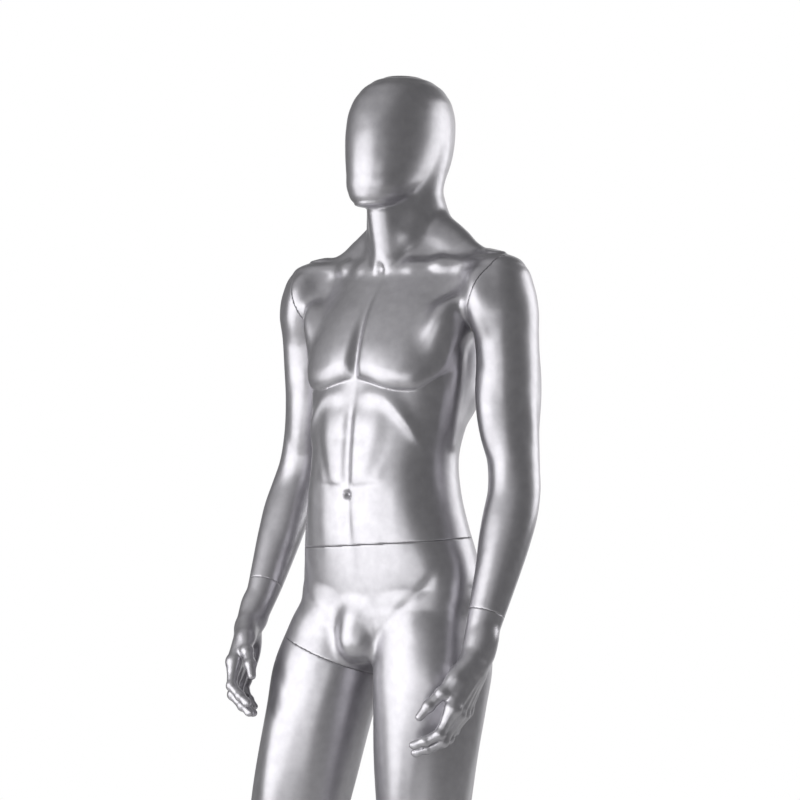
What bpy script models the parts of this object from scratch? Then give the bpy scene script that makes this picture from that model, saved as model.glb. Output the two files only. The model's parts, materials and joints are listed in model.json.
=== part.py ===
"""Full-body male display mannequin with an egg-shaped head, on a round steel base.

The figure is a set of hollow moulded shells: torso with head, hips with the left leg, a loose
right leg, two arms and two cast hands. Each seam is a flat cut closed by a flange disc on both
sides, joined by a headed stud that locks behind a steel keyhole plate. A leaning rod on the base
enters a socket in the left calf.

Frame: metres, +Z up, the figure faces -Y, its left side is +X, the origin is the centre of the
base's underside.
"""

import math

import bmesh
import bpy
from mathutils import Matrix, Vector

# Driving dimensions
HEAD_TOP = 1.885
BASE_RADIUS = 0.225
LINER_THICKNESS = 0.0017
STAND = Vector((0.020, 0.045, 0))  # where the figure's own axis stands, from the base's centre
PLATE_BOTTOM = 0.002
PLATE_TOP = 0.008
SOLE = 0.0085
FREE_SOLE_LIFT = 0.010  # the loose leg's foot hangs this far above the planted one
WALL = 0.004
SEAM_GAP = 0.0003  # from a shell's rim to the plane of its seam
FIT_GAP = 0.0004
FLANGE_NEAR = 0.0005
FLANGE_FAR = 0.0085
RING_STEP = 0.08  # most space between the rings along a limb
PELVIS_ROLL = 0.08  # rise per metre towards the planted left leg

# Seams: a point on the joint's axis, and the direction from the parent towards the child
WAIST = (Vector((0.008, -0.028, 1.089)), Vector((-PELVIS_ROLL, 0, 1)))
SHOULDER = (Vector((0.188, 0.028, 1.500)), Vector((0.925, 0, -0.380)))
WRIST = (Vector((0.2320, -0.0538, 0.9833)), Vector((-0.031, -0.377, -0.926)))
THIGH = (Vector((-0.088, -0.058, 0.897)), Vector((-0.32, -0.217, -1)))

# Calf rod, from the top of the plate to its end in the calf
ROD_FOOT = Vector((0.150, 0.066, 0.0085))
ROD_TIP = Vector((0.122, 0.022, 0.350))
ROD_RADIUS = 0.00635
SOCKET_BORE = 0.0070
SOCKET_RADIUS = 0.0090
SOCKET_LENGTH = 0.118

# Stations of each body volume: height, centre x, centre y, half width, fore, aft, squareness
TORSO = [
    (0.905, 0.014, -0.015, 0.050, 0.045, 0.045, 2.0),
    (0.925, 0.016, -0.018, 0.105, 0.085, 0.085, 2.2),
    (0.960, 0.018, -0.022, 0.146, 0.105, 0.112, 2.3),
    (1.010, 0.018, -0.026, 0.160, 0.108, 0.115, 2.4),
    (1.060, 0.014, -0.029, 0.160, 0.110, 0.108, 2.4),
    (1.110, 0.009, -0.030, 0.152, 0.110, 0.102, 2.4),
    (1.170, 0.005, -0.029, 0.140, 0.110, 0.102, 2.4),
    (1.230, 0.002, -0.024, 0.133, 0.110, 0.100, 2.4),
    (1.300, 0.000, -0.014, 0.143, 0.110, 0.112, 2.4),
    (1.370, 0.000, -0.002, 0.148, 0.114, 0.122, 2.4),
    (1.430, 0.000, 0.008, 0.148, 0.118, 0.126, 2.4),
    (1.480, 0.000, 0.018, 0.142, 0.106, 0.120, 2.3),
    (1.520, 0.000, 0.026, 0.128, 0.082, 0.106, 2.2),
    (1.550, 0.000, 0.032, 0.100, 0.064, 0.088, 2.1),
    (1.575, 0.000, 0.034, 0.074, 0.061, 0.068, 2.0),
    (1.605, 0.000, 0.032, 0.068, 0.062, 0.073, 2.0),
    (1.650, 0.000, 0.026, 0.062, 0.062, 0.071, 2.0),
    (1.700, 0.000, 0.020, 0.057, 0.057, 0.066, 2.0),
]
HEAD = [
    (1.657, -0.004, -0.052, 0.022, 0.022, 0.020, 2.0),
    (1.666, -0.004, -0.044, 0.040, 0.040, 0.042, 2.0),
    (1.684, -0.003, -0.028, 0.056, 0.062, 0.068, 2.1),
    (1.715, -0.002, -0.004, 0.067, 0.088, 0.090, 2.2),
    (1.750, -0.001, 0.010, 0.075, 0.102, 0.104, 2.2),
    (1.790, 0.000, 0.018, 0.080, 0.106, 0.110, 2.2),
    (1.825, 0.000, 0.022, 0.078, 0.101, 0.105, 2.1),
    (1.853, 0.000, 0.024, 0.069, 0.085, 0.090, 2.0),
    (1.872, 0.000, 0.025, 0.052, 0.061, 0.066, 2.0),
    (1.882, 0.000, 0.025, 0.030, 0.033, 0.036, 2.0),
    (HEAD_TOP, 0.000, 0.025, 0.012, 0.012, 0.012, 2.0),
]
ARM = [
    (1.574, 0.190, 0.030, 0.018, 0.016, 0.016, 2.0),
    (1.565, 0.193, 0.030, 0.037, 0.036, 0.036, 2.0),
    (1.543, 0.198, 0.030, 0.050, 0.053, 0.053, 2.0),
    (1.505, 0.203, 0.031, 0.058, 0.065, 0.063, 2.1),
    (1.460, 0.207, 0.033, 0.058, 0.071, 0.066, 2.1),
    (1.400, 0.208, 0.039, 0.052, 0.063, 0.062, 2.1),
    (1.330, 0.207, 0.041, 0.050, 0.061, 0.061, 2.1),
    (1.270, 0.215, 0.038, 0.047, 0.056, 0.055, 2.0),
    (1.220, 0.226, 0.031, 0.044, 0.048, 0.049, 2.0),
    (1.180, 0.233, 0.021, 0.045, 0.046, 0.048, 2.0),
    (1.140, 0.236, 0.007, 0.046, 0.046, 0.046, 2.0),
    (1.090, 0.236, -0.012, 0.043, 0.043, 0.043, 2.0),
    (1.030, 0.234, -0.036, 0.036, 0.038, 0.038, 2.0),
    (0.970, 0.232, -0.061, 0.029, 0.033, 0.033, 2.1),
    (0.925, 0.232, -0.082, 0.0235, 0.030, 0.030, 2.2),
    (0.895, 0.232, -0.094, 0.020, 0.027, 0.027, 2.2),
]
LEFT_LEG = [
    (1.040, 0.088, -0.022, 0.058, 0.070, 0.078, 2.2),
    (0.985, 0.097, -0.026, 0.078, 0.092, 0.106, 2.2),
    (0.930, 0.104, -0.032, 0.089, 0.100, 0.118, 2.2),
    (0.880, 0.110, -0.040, 0.092, 0.100, 0.116, 2.2),
    (0.820, 0.111, -0.046, 0.089, 0.100, 0.100, 2.1),
    (0.740, 0.108, -0.052, 0.083, 0.093, 0.086, 2.1),
    (0.660, 0.105, -0.056, 0.076, 0.084, 0.076, 2.0),
    (0.580, 0.102, -0.057, 0.067, 0.072, 0.067, 2.0),
    (0.530, 0.100, -0.056, 0.060, 0.065, 0.060, 2.0),
    (0.490, 0.099, -0.051, 0.057, 0.061, 0.056, 2.0),
    (0.450, 0.099, -0.042, 0.054, 0.056, 0.056, 2.0),
    (0.400, 0.100, -0.030, 0.056, 0.052, 0.064, 2.0),
    (0.350, 0.101, -0.019, 0.058, 0.050, 0.070, 2.0),
    (0.300, 0.101, -0.010, 0.053, 0.047, 0.064, 2.0),
    (0.240, 0.101, 0.000, 0.044, 0.042, 0.051, 2.0),
    (0.170, 0.101, 0.008, 0.036, 0.037, 0.041, 2.0),
    (0.110, 0.102, 0.012, 0.035, 0.040, 0.040, 2.0),
    (0.065, 0.102, 0.012, 0.033, 0.046, 0.040, 2.0),
]
RIGHT_LEG = [
    (1.030, -0.058, -0.026, 0.058, 0.070, 0.078, 2.2),
    (0.975, -0.070, -0.034, 0.077, 0.092, 0.106, 2.2),
    (0.920, -0.082, -0.048, 0.088, 0.098, 0.117, 2.2),
    (0.870, -0.090, -0.062, 0.091, 0.098, 0.116, 2.2),
    (0.820, -0.095, -0.074, 0.089, 0.098, 0.103, 2.1),
    (0.740, -0.104, -0.090, 0.084, 0.092, 0.088, 2.1),
    (0.660, -0.113, -0.105, 0.077, 0.084, 0.077, 2.0),
    (0.580, -0.121, -0.119, 0.068, 0.072, 0.067, 2.0),
    (0.530, -0.126, -0.124, 0.061, 0.065, 0.060, 2.0),
    (0.490, -0.129, -0.121, 0.057, 0.062, 0.056, 2.0),
    (0.450, -0.132, -0.110, 0.054, 0.056, 0.056, 2.0),
    (0.400, -0.136, -0.094, 0.056, 0.052, 0.064, 2.0),
    (0.350, -0.140, -0.078, 0.057, 0.050, 0.069, 2.0),
    (0.300, -0.144, -0.064, 0.053, 0.047, 0.063, 2.0),
    (0.240, -0.148, -0.048, 0.044, 0.042, 0.051, 2.0),
    (0.170, -0.152, -0.034, 0.036, 0.037, 0.041, 2.0),
    (0.120, -0.154, -0.026, 0.035, 0.040, 0.040, 2.0),
    (0.075, -0.155, -0.024, 0.033, 0.046, 0.040, 2.0),
]
# The foot from heel to toe: distance ahead of the ankle, offset to the inner side, half width, height
FOOT = [
    (-0.062, 0.000, 0.014, 0.026),
    (-0.056, 0.000, 0.024, 0.044),
    (-0.038, 0.000, 0.032, 0.066),
    (-0.005, 0.001, 0.034, 0.088),
    (0.030, 0.002, 0.036, 0.090),
    (0.070, 0.003, 0.040, 0.072),
    (0.110, 0.003, 0.046, 0.052),
    (0.145, 0.003, 0.049, 0.038),
    (0.175, 0.005, 0.046, 0.029),
    (0.197, 0.007, 0.038, 0.023),
    (0.208, 0.008, 0.024, 0.017),
]
# The shoulder yoke, from its middle outwards: x, y, z, half height, fore, aft
YOKE = [
    (0.000, 0.030, 1.515, 0.095, 0.080, 0.104),
    (0.055, 0.030, 1.515, 0.096, 0.082, 0.104),
    (0.105, 0.031, 1.515, 0.090, 0.078, 0.096),
    (0.150, 0.031, 1.512, 0.076, 0.064, 0.076),
    (0.185, 0.031, 1.508, 0.060, 0.050, 0.052),
]
LEFT_ANKLE = (0.102, 0.012)
RIGHT_ANKLE = (-0.155, -0.024)
LEFT_TOE_OUT = math.radians(10)
RIGHT_TOE_OUT = math.radians(18)

# The right elbow is bent a little more: how far a point this far below it moves in, forward and up
ELBOW_HEIGHT = 1.19
ELBOW_BEND = Vector((-0.05, -0.11, 0.12))

# The left hand in its own frame: towards the thumb, towards the palm, towards the fingertips
HAND_WRIST = Vector((0.2355, -0.089, 0.912))
HAND_REACH = Vector((-0.12, -0.40, -0.91))
PALM_FACES = {"left": Vector((-0.951, -0.309, 0.0)), "right": Vector((-0.93, 0.34, 0.0))}
# The palm: distance along the hand, offset to the thumb, offset to the palm, half thickness, half width
PALM = [
    (-0.030, 0.000, 0.000, 0.018, 0.025),
    (0.000, 0.000, 0.000, 0.020, 0.0285),
    (0.030, 0.003, 0.000, 0.019, 0.034),
    (0.062, 0.001, 0.001, 0.017, 0.040),
    (0.089, -0.001, 0.001, 0.014, 0.041),
    (0.101, -0.001, 0.001, 0.009, 0.037),
]
# Each finger: its knuckle, its radius, then the length, end radius and bend of each phalanx
FINGERS = (
    ((0.029, 0.001, 0.092), 0.0102, ((0.043, 0.0090, 10), (0.026, 0.0080, 38), (0.021, 0.0062, 8))),
    ((0.009, -0.001, 0.096), 0.0104, ((0.046, 0.0092, 9), (0.029, 0.0082, 40), (0.021, 0.0062, 8))),
    ((-0.012, 0.000, 0.091), 0.0100, ((0.042, 0.0088, 10), (0.027, 0.0078, 36), (0.020, 0.0060, 8))),
    ((-0.031, 0.003, 0.082), 0.0090, ((0.033, 0.0078, 10), (0.020, 0.0070, 28), (0.018, 0.0054, 8))),
)
THUMB = (
    ((0.014, 0.004, 0.010), 0.0150),
    ((0.030, 0.012, 0.042), 0.0138),
    ((0.038, 0.024, 0.072), 0.0112),
    ((0.041, 0.037, 0.098), 0.0096),
    ((0.042, 0.045, 0.121), 0.0070),
)


# Scene helpers -------------------------------------------------------------------------------


def clear_scene():
    for obj in list(bpy.data.objects):
        bpy.data.objects.remove(obj)


def new_collection(name):
    collection = bpy.data.collections.new(name)
    bpy.context.scene.collection.children.link(collection)
    return collection


def material(name, colour, roughness, metallic):
    made = bpy.data.materials.new(name)
    made.use_nodes = True
    shader = made.node_tree.nodes["Principled BSDF"]
    shader.inputs["Base Color"].default_value = (*colour, 1)
    shader.inputs["Roughness"].default_value = roughness
    shader.inputs["Metallic"].default_value = metallic
    return made


def object_from(bm, name):
    """A new object holding the bmesh, with its faces turned outwards."""
    bmesh.ops.recalc_face_normals(bm, faces=bm.faces)
    mesh = bpy.data.meshes.new(name)
    bm.to_mesh(mesh)
    bm.free()
    obj = bpy.data.objects.new(name, mesh)
    bpy.context.scene.collection.objects.link(obj)
    return obj


def copied(obj):
    """A copy with its own mesh, so that a volume can be used more than once."""
    twin = bpy.data.objects.new(obj.name, obj.data.copy())
    bpy.context.scene.collection.objects.link(twin)
    twin.matrix_world = obj.matrix_world.copy()
    return twin


def applied(obj):
    """The object with its modifiers made part of its mesh."""
    bpy.context.view_layer.update()
    evaluated = obj.evaluated_get(bpy.context.evaluated_depsgraph_get())
    result = bpy.data.meshes.new_from_object(evaluated)
    obj.modifiers.clear()
    obj.data = result
    return obj


def boolean(obj, operation, other):
    """Applies one Boolean to obj and removes the other object."""
    modifier = obj.modifiers.new(operation, "BOOLEAN")
    modifier.operation = operation
    modifier.object = other
    applied(obj)
    bpy.data.objects.remove(other)
    return obj


def joined(first, *others):
    for other in others:
        boolean(first, "UNION", other)
    return first


def cut(obj, *cutters):
    for cutter in cutters:
        boolean(obj, "DIFFERENCE", cutter)
    return obj


def seam_frame(seam):
    """Matrix whose origin is the seam's point and whose Z runs from the parent to the child."""
    point, direction = seam
    return Matrix.Translation(point) @ direction.to_track_quat("Z", "Y").to_matrix().to_4x4()


def mirrored(seam):
    point, direction = seam
    return Vector((-point.x, point.y, point.z)), Vector((-direction.x, direction.y, direction.z))


def reflect(obj):
    """Moves the object to the other side of the X = 0 plane."""
    obj.data.transform(Matrix.Diagonal((-1, 1, 1, 1)) @ obj.matrix_world)
    obj.data.flip_normals()
    obj.matrix_world = Matrix.Identity(4)
    return obj


def cylinder(name, radius, low, high, frame, centre=(0, 0), top_radius=None, sides=16):
    """A cylinder or cone along the frame's Z, from low to high."""
    bm = bmesh.new()
    bmesh.ops.create_cone(
        bm,
        cap_ends=True,
        segments=sides,
        radius1=radius,
        radius2=radius if top_radius is None else top_radius,
        depth=high - low,
        matrix=Matrix.Translation((*centre, (low + high) / 2)),
    )
    obj = object_from(bm, name)
    obj.matrix_world = frame
    return obj


def turned(name, profile, frame, sides=20):
    """A piece turned about the frame's Z from a profile of (height, radius) pairs, lowest first."""
    closed = [(profile[0][0], 0.0), *profile, (profile[-1][0], 0.0)]
    points = [(radius, 0, z) for z, radius in reversed(closed)]
    mesh = bpy.data.meshes.new(name)
    mesh.from_pydata(points, [(k, k + 1) for k in range(len(points) - 1)], [])
    obj = bpy.data.objects.new(name, mesh)
    bpy.context.scene.collection.objects.link(obj)
    screw = obj.modifiers.new("turn", "SCREW")
    screw.steps = sides
    screw.render_steps = sides
    screw.use_merge_vertices = True
    screw.merge_threshold = 1e-5
    applied(obj)
    obj.matrix_world = frame
    return obj


def box(name, low, high, frame):
    """A box between two corners, given in the frame."""
    size = Vector(high) - Vector(low)
    bm = bmesh.new()
    middle = (Vector(low) + Vector(high)) / 2
    bmesh.ops.create_cube(bm, size=1, matrix=Matrix.Translation(middle) @ Matrix.Diagonal((*size, 1)))
    obj = object_from(bm, name)
    obj.matrix_world = frame
    return obj


def half_space(seam, start, reach=0.5, span=1.0):
    """A box that fills the child's side of a seam from start on, or the parent's side if reach is negative."""
    low, high = sorted((start, start + reach))
    return box("half_space", (-span, -span, low), (span, span, high), seam_frame(seam))


# Lofts ---------------------------------------------------------------------------------------


def loft(name, rings):
    """A closed surface through rings of points, each ring with the same number of points."""
    bm = bmesh.new()
    loops = [[bm.verts.new(point) for point in ring] for ring in rings]
    for lower, upper in zip(loops, loops[1:]):
        for i in range(len(lower)):
            bm.faces.new((lower[i - 1], lower[i], upper[i], upper[i - 1]))
    bm.faces.new(loops[0])
    bm.faces.new(loops[-1])
    return object_from(bm, name)


def resampled(stations, step):
    """Stations about one step apart, on Catmull-Rom curves through the given ones."""
    fine = []
    for i in range(len(stations) - 1):
        before = stations[max(i - 1, 0)]
        start, end = stations[i], stations[i + 1]
        after = stations[min(i + 2, len(stations) - 1)]
        count = max(1, round(abs(end[0] - start[0]) / step))
        for j in range(count):
            t = j / count
            fine.append(
                tuple(
                    b + t * (c - a + t * (2 * a - 5 * b + 4 * c - d + t * (3 * b - a - 3 * c + d))) / 2
                    for a, b, c, d in zip(before, start, end, after)
                )
            )
    fine.append(stations[-1])
    return fine


def superellipse(angle, power):
    """Unit offsets across and towards the back at an angle, squarer as the power rises."""
    across, back = math.cos(angle), math.sin(angle)
    size = (abs(across) ** power + abs(back) ** power) ** (-1 / power)
    return across * size, back * size


def body_volume(name, stations, sides, inset=0.0, roll_from=0.0):
    """A limb or trunk from its stations. An inset shrinks it, and the pelvis rolls below roll_from."""
    stations = resampled(stations, RING_STEP)
    rings = []
    for i, (z, x, y, width, fore, aft, power) in enumerate(stations):
        if inset and i == 0:
            z -= math.copysign(inset, z - stations[-1][0])
        if inset and i == len(stations) - 1:
            z += math.copysign(inset, stations[0][0] - z)
        roll = PELVIS_ROLL * min(1, max(0, (roll_from - z) / 0.2)) if roll_from else 0
        ring = []
        for k in range(sides):
            across, back = superellipse(2 * math.pi * k / sides, power)
            depth = (aft if back > 0 else fore) - inset
            dx = across * max(width - inset, 0.003)
            ring.append((x + dx, y + back * max(depth, 0.003), z + roll * dx))
        rings.append(ring)
    return loft(name, rings)


def foot_volume(name, ankle, toe_out, inner, lift, inset=0.0):
    """A foot from heel to toe, turned out about the ankle. inner is +1 where the big toe is towards +X."""
    turn = Matrix.Rotation(-toe_out * inner, 4, "Z")
    place = Matrix.Translation((*ankle, SOLE + lift)) @ turn
    rings = []
    for i, (ahead, offset, width, height) in enumerate(FOOT):
        end = 1 if i == 0 else -1 if i == len(FOOT) - 1 else 0
        ring = []
        for k in range(14):
            across, up = superellipse(2 * math.pi * (k + 0.5) / 14, 2.6)
            half = height / 2
            ring.append(
                place
                @ Vector(
                    (
                        inner * offset + across * (width - inset),
                        -(ahead + end * inset),
                        half + up * (half - inset),
                    )
                )
            )
        rings.append(ring)
    return loft(name, rings)


def tube(name, path, radii, sides=8):
    """A round tube along a path, with its own radius at each point."""
    rings = []
    for i, point in enumerate(path):
        along = path[min(i + 1, len(path) - 1)] - path[max(i - 1, 0)]
        turn = along.to_track_quat("Z", "X").to_matrix()
        rings.append(
            [
                point + turn @ Vector((math.cos(a), math.sin(a), 0)) * radii[i]
                for a in (2 * math.pi * k / sides for k in range(sides))
            ]
        )
    return loft(name, rings)


def rounded_path(points, radii):
    """The path with a short, narrow last stretch, so that its end looks rounded."""
    tip = (points[-1] - points[-2]).normalized()
    ends = [points[-1] + tip * radii[-1] * 0.6, points[-1] + tip * radii[-1] * 0.95]
    return points + ends, radii + [radii[-1] * 0.8, radii[-1] * 0.35]


# Body volumes --------------------------------------------------------------------------------


def yoke_volume(inset=0.0):
    """The bar of muscle across the top of the chest, which carries both shoulder seams."""
    rings = []
    for side, stations in ((-1, YOKE[:0:-1]), (1, YOKE)):
        for x, y, z, height, fore, aft in stations:
            ring = []
            for k in range(16):
                up, back = superellipse(2 * math.pi * k / 16, 2.1)
                depth = (aft if back > 0 else fore) - inset
                end = inset if x == YOKE[-1][0] else 0
                ring.append((side * (x - end), y + back * depth, z + up * (height - inset)))
            rings.append(ring)
    return loft("yoke", rings)


def torso_volume(inset=0.0):
    trunk = body_volume("trunk", TORSO, 20, inset, roll_from=1.22)
    yoke = cut(
        yoke_volume(inset),
        half_space(SHOULDER, -SEAM_GAP - inset),
        half_space(mirrored(SHOULDER), -SEAM_GAP - inset),
    )
    return joined(trunk, body_volume("head", HEAD, 18, inset), yoke)


def below_elbow(bend, z):
    """How far a point of the arm at this height moves when the elbow is bent."""
    return bend * max(ELBOW_HEIGHT - z, 0)


def arm_volume(bend, inset=0.0):
    """A left arm, with its elbow bent from the straighter pose."""
    stations = []
    for z, x, y, *size in ARM:
        shift = below_elbow(bend, z)
        stations.append((z + shift.z, x + shift.x, y + shift.y, *size))
    return body_volume("arm", stations, 16, inset)


def elbow_turn(bend):
    """The rotation that the bend gives the forearm's direction."""
    straight = HAND_WRIST - Vector((0.232, 0.024, ELBOW_HEIGHT))
    return straight.rotation_difference(straight + below_elbow(bend, HAND_WRIST.z)).to_matrix()


def wrist_seam(bend):
    point, direction = WRIST
    return point + below_elbow(bend, point.z), elbow_turn(bend) @ direction


def leg_volume(side, inset=0.0):
    stations = LEFT_LEG if side > 0 else RIGHT_LEG
    foot = (
        foot_volume("foot", LEFT_ANKLE, LEFT_TOE_OUT, -1, 0, inset)
        if side > 0
        else foot_volume("foot", RIGHT_ANKLE, RIGHT_TOE_OUT, 1, FREE_SOLE_LIFT, inset)
    )
    return joined(body_volume("leg", stations, 18, inset), foot)


def hand_frame(place, bend):
    """Columns towards the thumb, the palm and the fingertips, at the left wrist."""
    reach = HAND_REACH.normalized()
    palm = PALM_FACES[place]
    palm = (palm - palm.dot(reach) * reach).normalized()
    turn = elbow_turn(bend) @ Matrix((palm.cross(reach), palm, reach)).transposed()
    return Matrix.Translation(HAND_WRIST + below_elbow(bend, HAND_WRIST.z)) @ turn.to_4x4()


def palm_volume():
    rings = []
    for along, thumb_side, palm_side, thick, wide in PALM:
        ring = []
        for k in range(14):
            across, deep = superellipse(2 * math.pi * k / 14, 2.3)
            ring.append((thumb_side + across * wide, palm_side + deep * thick, along))
        rings.append(ring)
    return loft("palm", rings)


def finger_volume(knuckle, root_radius, phalanges):
    """A finger from inside the palm, curled towards the palm by each phalanx's bend in turn."""
    points = [Vector(knuckle) - Vector((0, 0, 0.03)), Vector(knuckle)]
    radii = [root_radius * 0.9, root_radius]
    bend = 0.0
    for length, radius, turn in phalanges:
        bend += math.radians(turn)
        points.append(points[-1] + Vector((0, math.sin(bend), math.cos(bend))) * length)
        radii.append(radius)
    return tube("finger", *rounded_path(points, radii))


def hand_volume(place, bend):
    """A left hand with the lower forearm."""
    hand = palm_volume()
    for finger in FINGERS:
        joined(hand, finger_volume(*finger))
    thumb = rounded_path([Vector(point) for point, _ in THUMB], [radius for _, radius in THUMB])
    joined(hand, tube("thumb", *thumb))
    hand.data.transform(hand_frame(place, bend))
    return joined(hand, arm_volume(bend))


# Named parts ---------------------------------------------------------------------------------

PARTS = {}


def finish(obj, name, body, look, seam=None):
    """Names a finished piece, puts its origin on its joint, and hangs it on its body's empty."""
    if seam is not None:
        frame = seam_frame(seam)
        obj.data.transform(frame.inverted() @ obj.matrix_world)
        obj.matrix_world = frame
    obj.name = name
    obj.data.name = name
    obj.data.materials.clear()
    obj.data.materials.append(look)
    obj.data.shade_smooth()
    obj.data.set_sharp_from_angle(angle=math.radians(35))
    for collection in list(obj.users_collection):
        collection.objects.unlink(obj)
    PARTS["collection"].objects.link(obj)
    world = obj.matrix_world.copy()
    obj.parent = body
    obj.matrix_parent_inverse = body.matrix_world.inverted()
    obj.matrix_world = world
    return obj


def body_empty(name, place, parent=None):
    empty = bpy.data.objects.new(name + "_body", None)
    PARTS["collection"].objects.link(empty)
    empty.matrix_world = place
    bpy.context.view_layer.update()
    if parent is not None:
        empty.parent = parent
        empty.matrix_parent_inverse = parent.matrix_world.inverted()
    return empty


def flange(volume, seam, towards, holes):
    """A disc that closes a shell just inside a seam, cut from the shell's inner volume."""
    near, far = sorted((towards * FLANGE_NEAR, towards * FLANGE_FAR))
    slab = box("slab", (-0.25, -0.25, near), (0.25, 0.25, far), seam_frame(seam))
    return cut(boolean(slab, "INTERSECT", volume), *holes)


class Lock:
    """A keyhole plate on the parent's side of a seam and a headed stud on the child's side."""

    plate_thickness = 0.003
    face = 0.0006

    def __init__(self, seam, radius):
        self.seam = seam
        self.frame = seam_frame(seam)
        self.radius = radius
        self.shaft = radius * 0.17
        self.head = radius * 0.30
        self.entry = radius * 0.42  # from the axis to the keyhole's wide end
        self.screw_ring = radius * 0.76

    def part(self, name, radius, low, high, centre=(0, 0), **more):
        return cylinder(name, radius, low, high, self.frame, centre, **more)

    def plate_back(self):
        return -self.face - self.plate_thickness

    def keyhole_plate(self):
        plate = self.part("plate", self.radius, self.plate_back(), -self.face)
        slot = box(
            "slot",
            (-self.shaft - FIT_GAP, 0, -0.01),
            (self.shaft + FIT_GAP, self.entry, 0.01),
            self.frame,
        )
        holes = [
            self.part("hole", self.shaft + FIT_GAP, -0.01, 0.01),
            self.part("entry", self.head + FIT_GAP, -0.01, 0.01, (0, self.entry)),
        ]
        screws = [
            self.part("screw_hole", self.screw_size() * 1.9 + FIT_GAP, -0.01, 0.01, (x, 0), sides=8)
            for x in (-self.screw_ring, self.screw_ring)
        ]
        return cut(plate, slot, *holes, *screws)

    def screw_size(self):
        return min(0.0016, self.radius * 0.06)

    def screw(self, side):
        """A countersunk screw, its head level with the plate's face."""
        size = self.screw_size()
        place = self.frame @ Matrix.Translation((side * self.screw_ring, 0, -self.face))
        profile = ((-0.0072, size), (-0.0010 - size, size), (-0.0010, size * 1.9), (0, size * 1.9))
        screw = turned("screw", profile, place, 8)
        drive = box("drive", (-size * 1.3, -size / 4, -0.0005), (size * 1.3, size / 4, 0.01), place)
        return cut(screw, drive)

    def pockets(self):
        """What the parent's flange loses to the plate, the stud's head and the two screws."""
        recess = self.part("recess", self.radius + FIT_GAP, self.plate_back() - FIT_GAP, 0.01)
        well = self.part("well", self.radius * 0.60, -0.02, 0, (0, self.entry * 0.4))
        screws = [
            self.part("pilot", self.screw_size() + 0.0003, -0.02, 0, (x, 0), sides=8)
            for x in (-self.screw_ring, self.screw_ring)
        ]
        return [recess, well, *screws]

    def stud(self):
        """The child's disc with its shaft and head, which pass through the keyhole plate."""
        disc = self.part("stud", self.radius * 0.72, self.face, self.face + self.plate_thickness)
        shaft = self.part("shaft", self.shaft, self.plate_back() - 0.0010, self.face + 0.001)
        head = self.part("head", self.head, self.plate_back() - 0.0036, self.plate_back() - 0.0006)
        return joined(disc, shaft, head)

    def stud_recess(self):
        high = self.face + self.plate_thickness + FIT_GAP
        return self.part("recess", self.radius * 0.72 + FIT_GAP, -0.01, high)


def lock_parts(lock, parent_volume, child_volume=None):
    """The pieces of a seam: name, object, whether it stays with the child, and its material's key."""
    parts = [
        ("flange_inner", flange(parent_volume, lock.seam, -1, lock.pockets()), False, "board"),
        ("keyhole_plate", lock.keyhole_plate(), False, "steel"),
        ("plate_screw_1", lock.screw(-1), False, "steel"),
        ("plate_screw_2", lock.screw(1), False, "steel"),
        ("lock_stud", lock.stud(), True, "steel"),
    ]
    if child_volume is not None:
        outer = flange(child_volume, lock.seam, 1, [lock.stud_recess()])
        parts.append(("flange_outer", outer, True, "board"))
    return parts


def finish_joint(name, parts, seam, parent_body, child_body, looks):
    for part, obj, with_child, look in parts:
        body = child_body if with_child else parent_body
        finish(obj, f"{name}_{part}", body, looks[look], seam)


def rod_frame():
    """The rod's foot, with Z along the rod."""
    return seam_frame((ROD_FOOT, ROD_TIP - ROD_FOOT))


def make_base(body, steel, chrome, rubber):
    """The round plate with its liner, and the rod in its collar."""
    world = Matrix.Identity(4)
    liner = cylinder("liner", BASE_RADIUS - 0.006, 0, LINER_THICKNESS, world, sides=48)
    finish(liner, "base_liner", body, rubber)
    stand = Matrix.Translation(STAND)
    foot = stand @ Matrix.Translation((ROD_FOOT.x, ROD_FOOT.y, 0))
    screw_at = ((0.0125, 0), (-0.0125, 0))
    profile = ((PLATE_BOTTOM, BASE_RADIUS), (0.0062, BASE_RADIUS), (0.0074, BASE_RADIUS - 0.001))
    plate = turned("plate", (*profile, (PLATE_TOP, BASE_RADIUS - 0.003)), world, 48)
    for centre in screw_at:
        cut(
            plate,
            cylinder("sink", 0.0042, 0, 0.0052, foot, centre),
            cylinder("hole", 0.0024, 0, 0.02, foot, centre),
        )
    finish(plate, "base_plate", body, steel)
    profile = ((0.0083, 0.0180), (0.0135, 0.0180), (0.0165, 0.0115), (0.0300, 0.0105))
    collar = turned("collar", profile, foot, 24)
    bore = cylinder("bore", ROD_RADIUS + FIT_GAP, -0.02, 0.05, stand @ rod_frame())
    threads = [cylinder("thread", 0.0024, 0, 0.0125, foot, centre) for centre in screw_at]
    finish(cut(collar, bore, *threads), "rod_collar", body, chrome)
    for number, centre in enumerate(screw_at, 1):
        screw = joined(
            cylinder("screw", 0.0038, 0.0025, 0.0049, foot, centre),
            cylinder("shank", 0.0020, 0.0040, 0.0118, foot, centre),
        )
        finish(screw, f"collar_screw_{number}", body, steel)
    length = (ROD_TIP - ROD_FOOT).length
    profile = ((0.0008, ROD_RADIUS), (length - 0.003, ROD_RADIUS), (length, ROD_RADIUS - 0.002))
    rod = turned("rod", profile, stand @ rod_frame())
    finish(rod, "support_rod", body, chrome)


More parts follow.
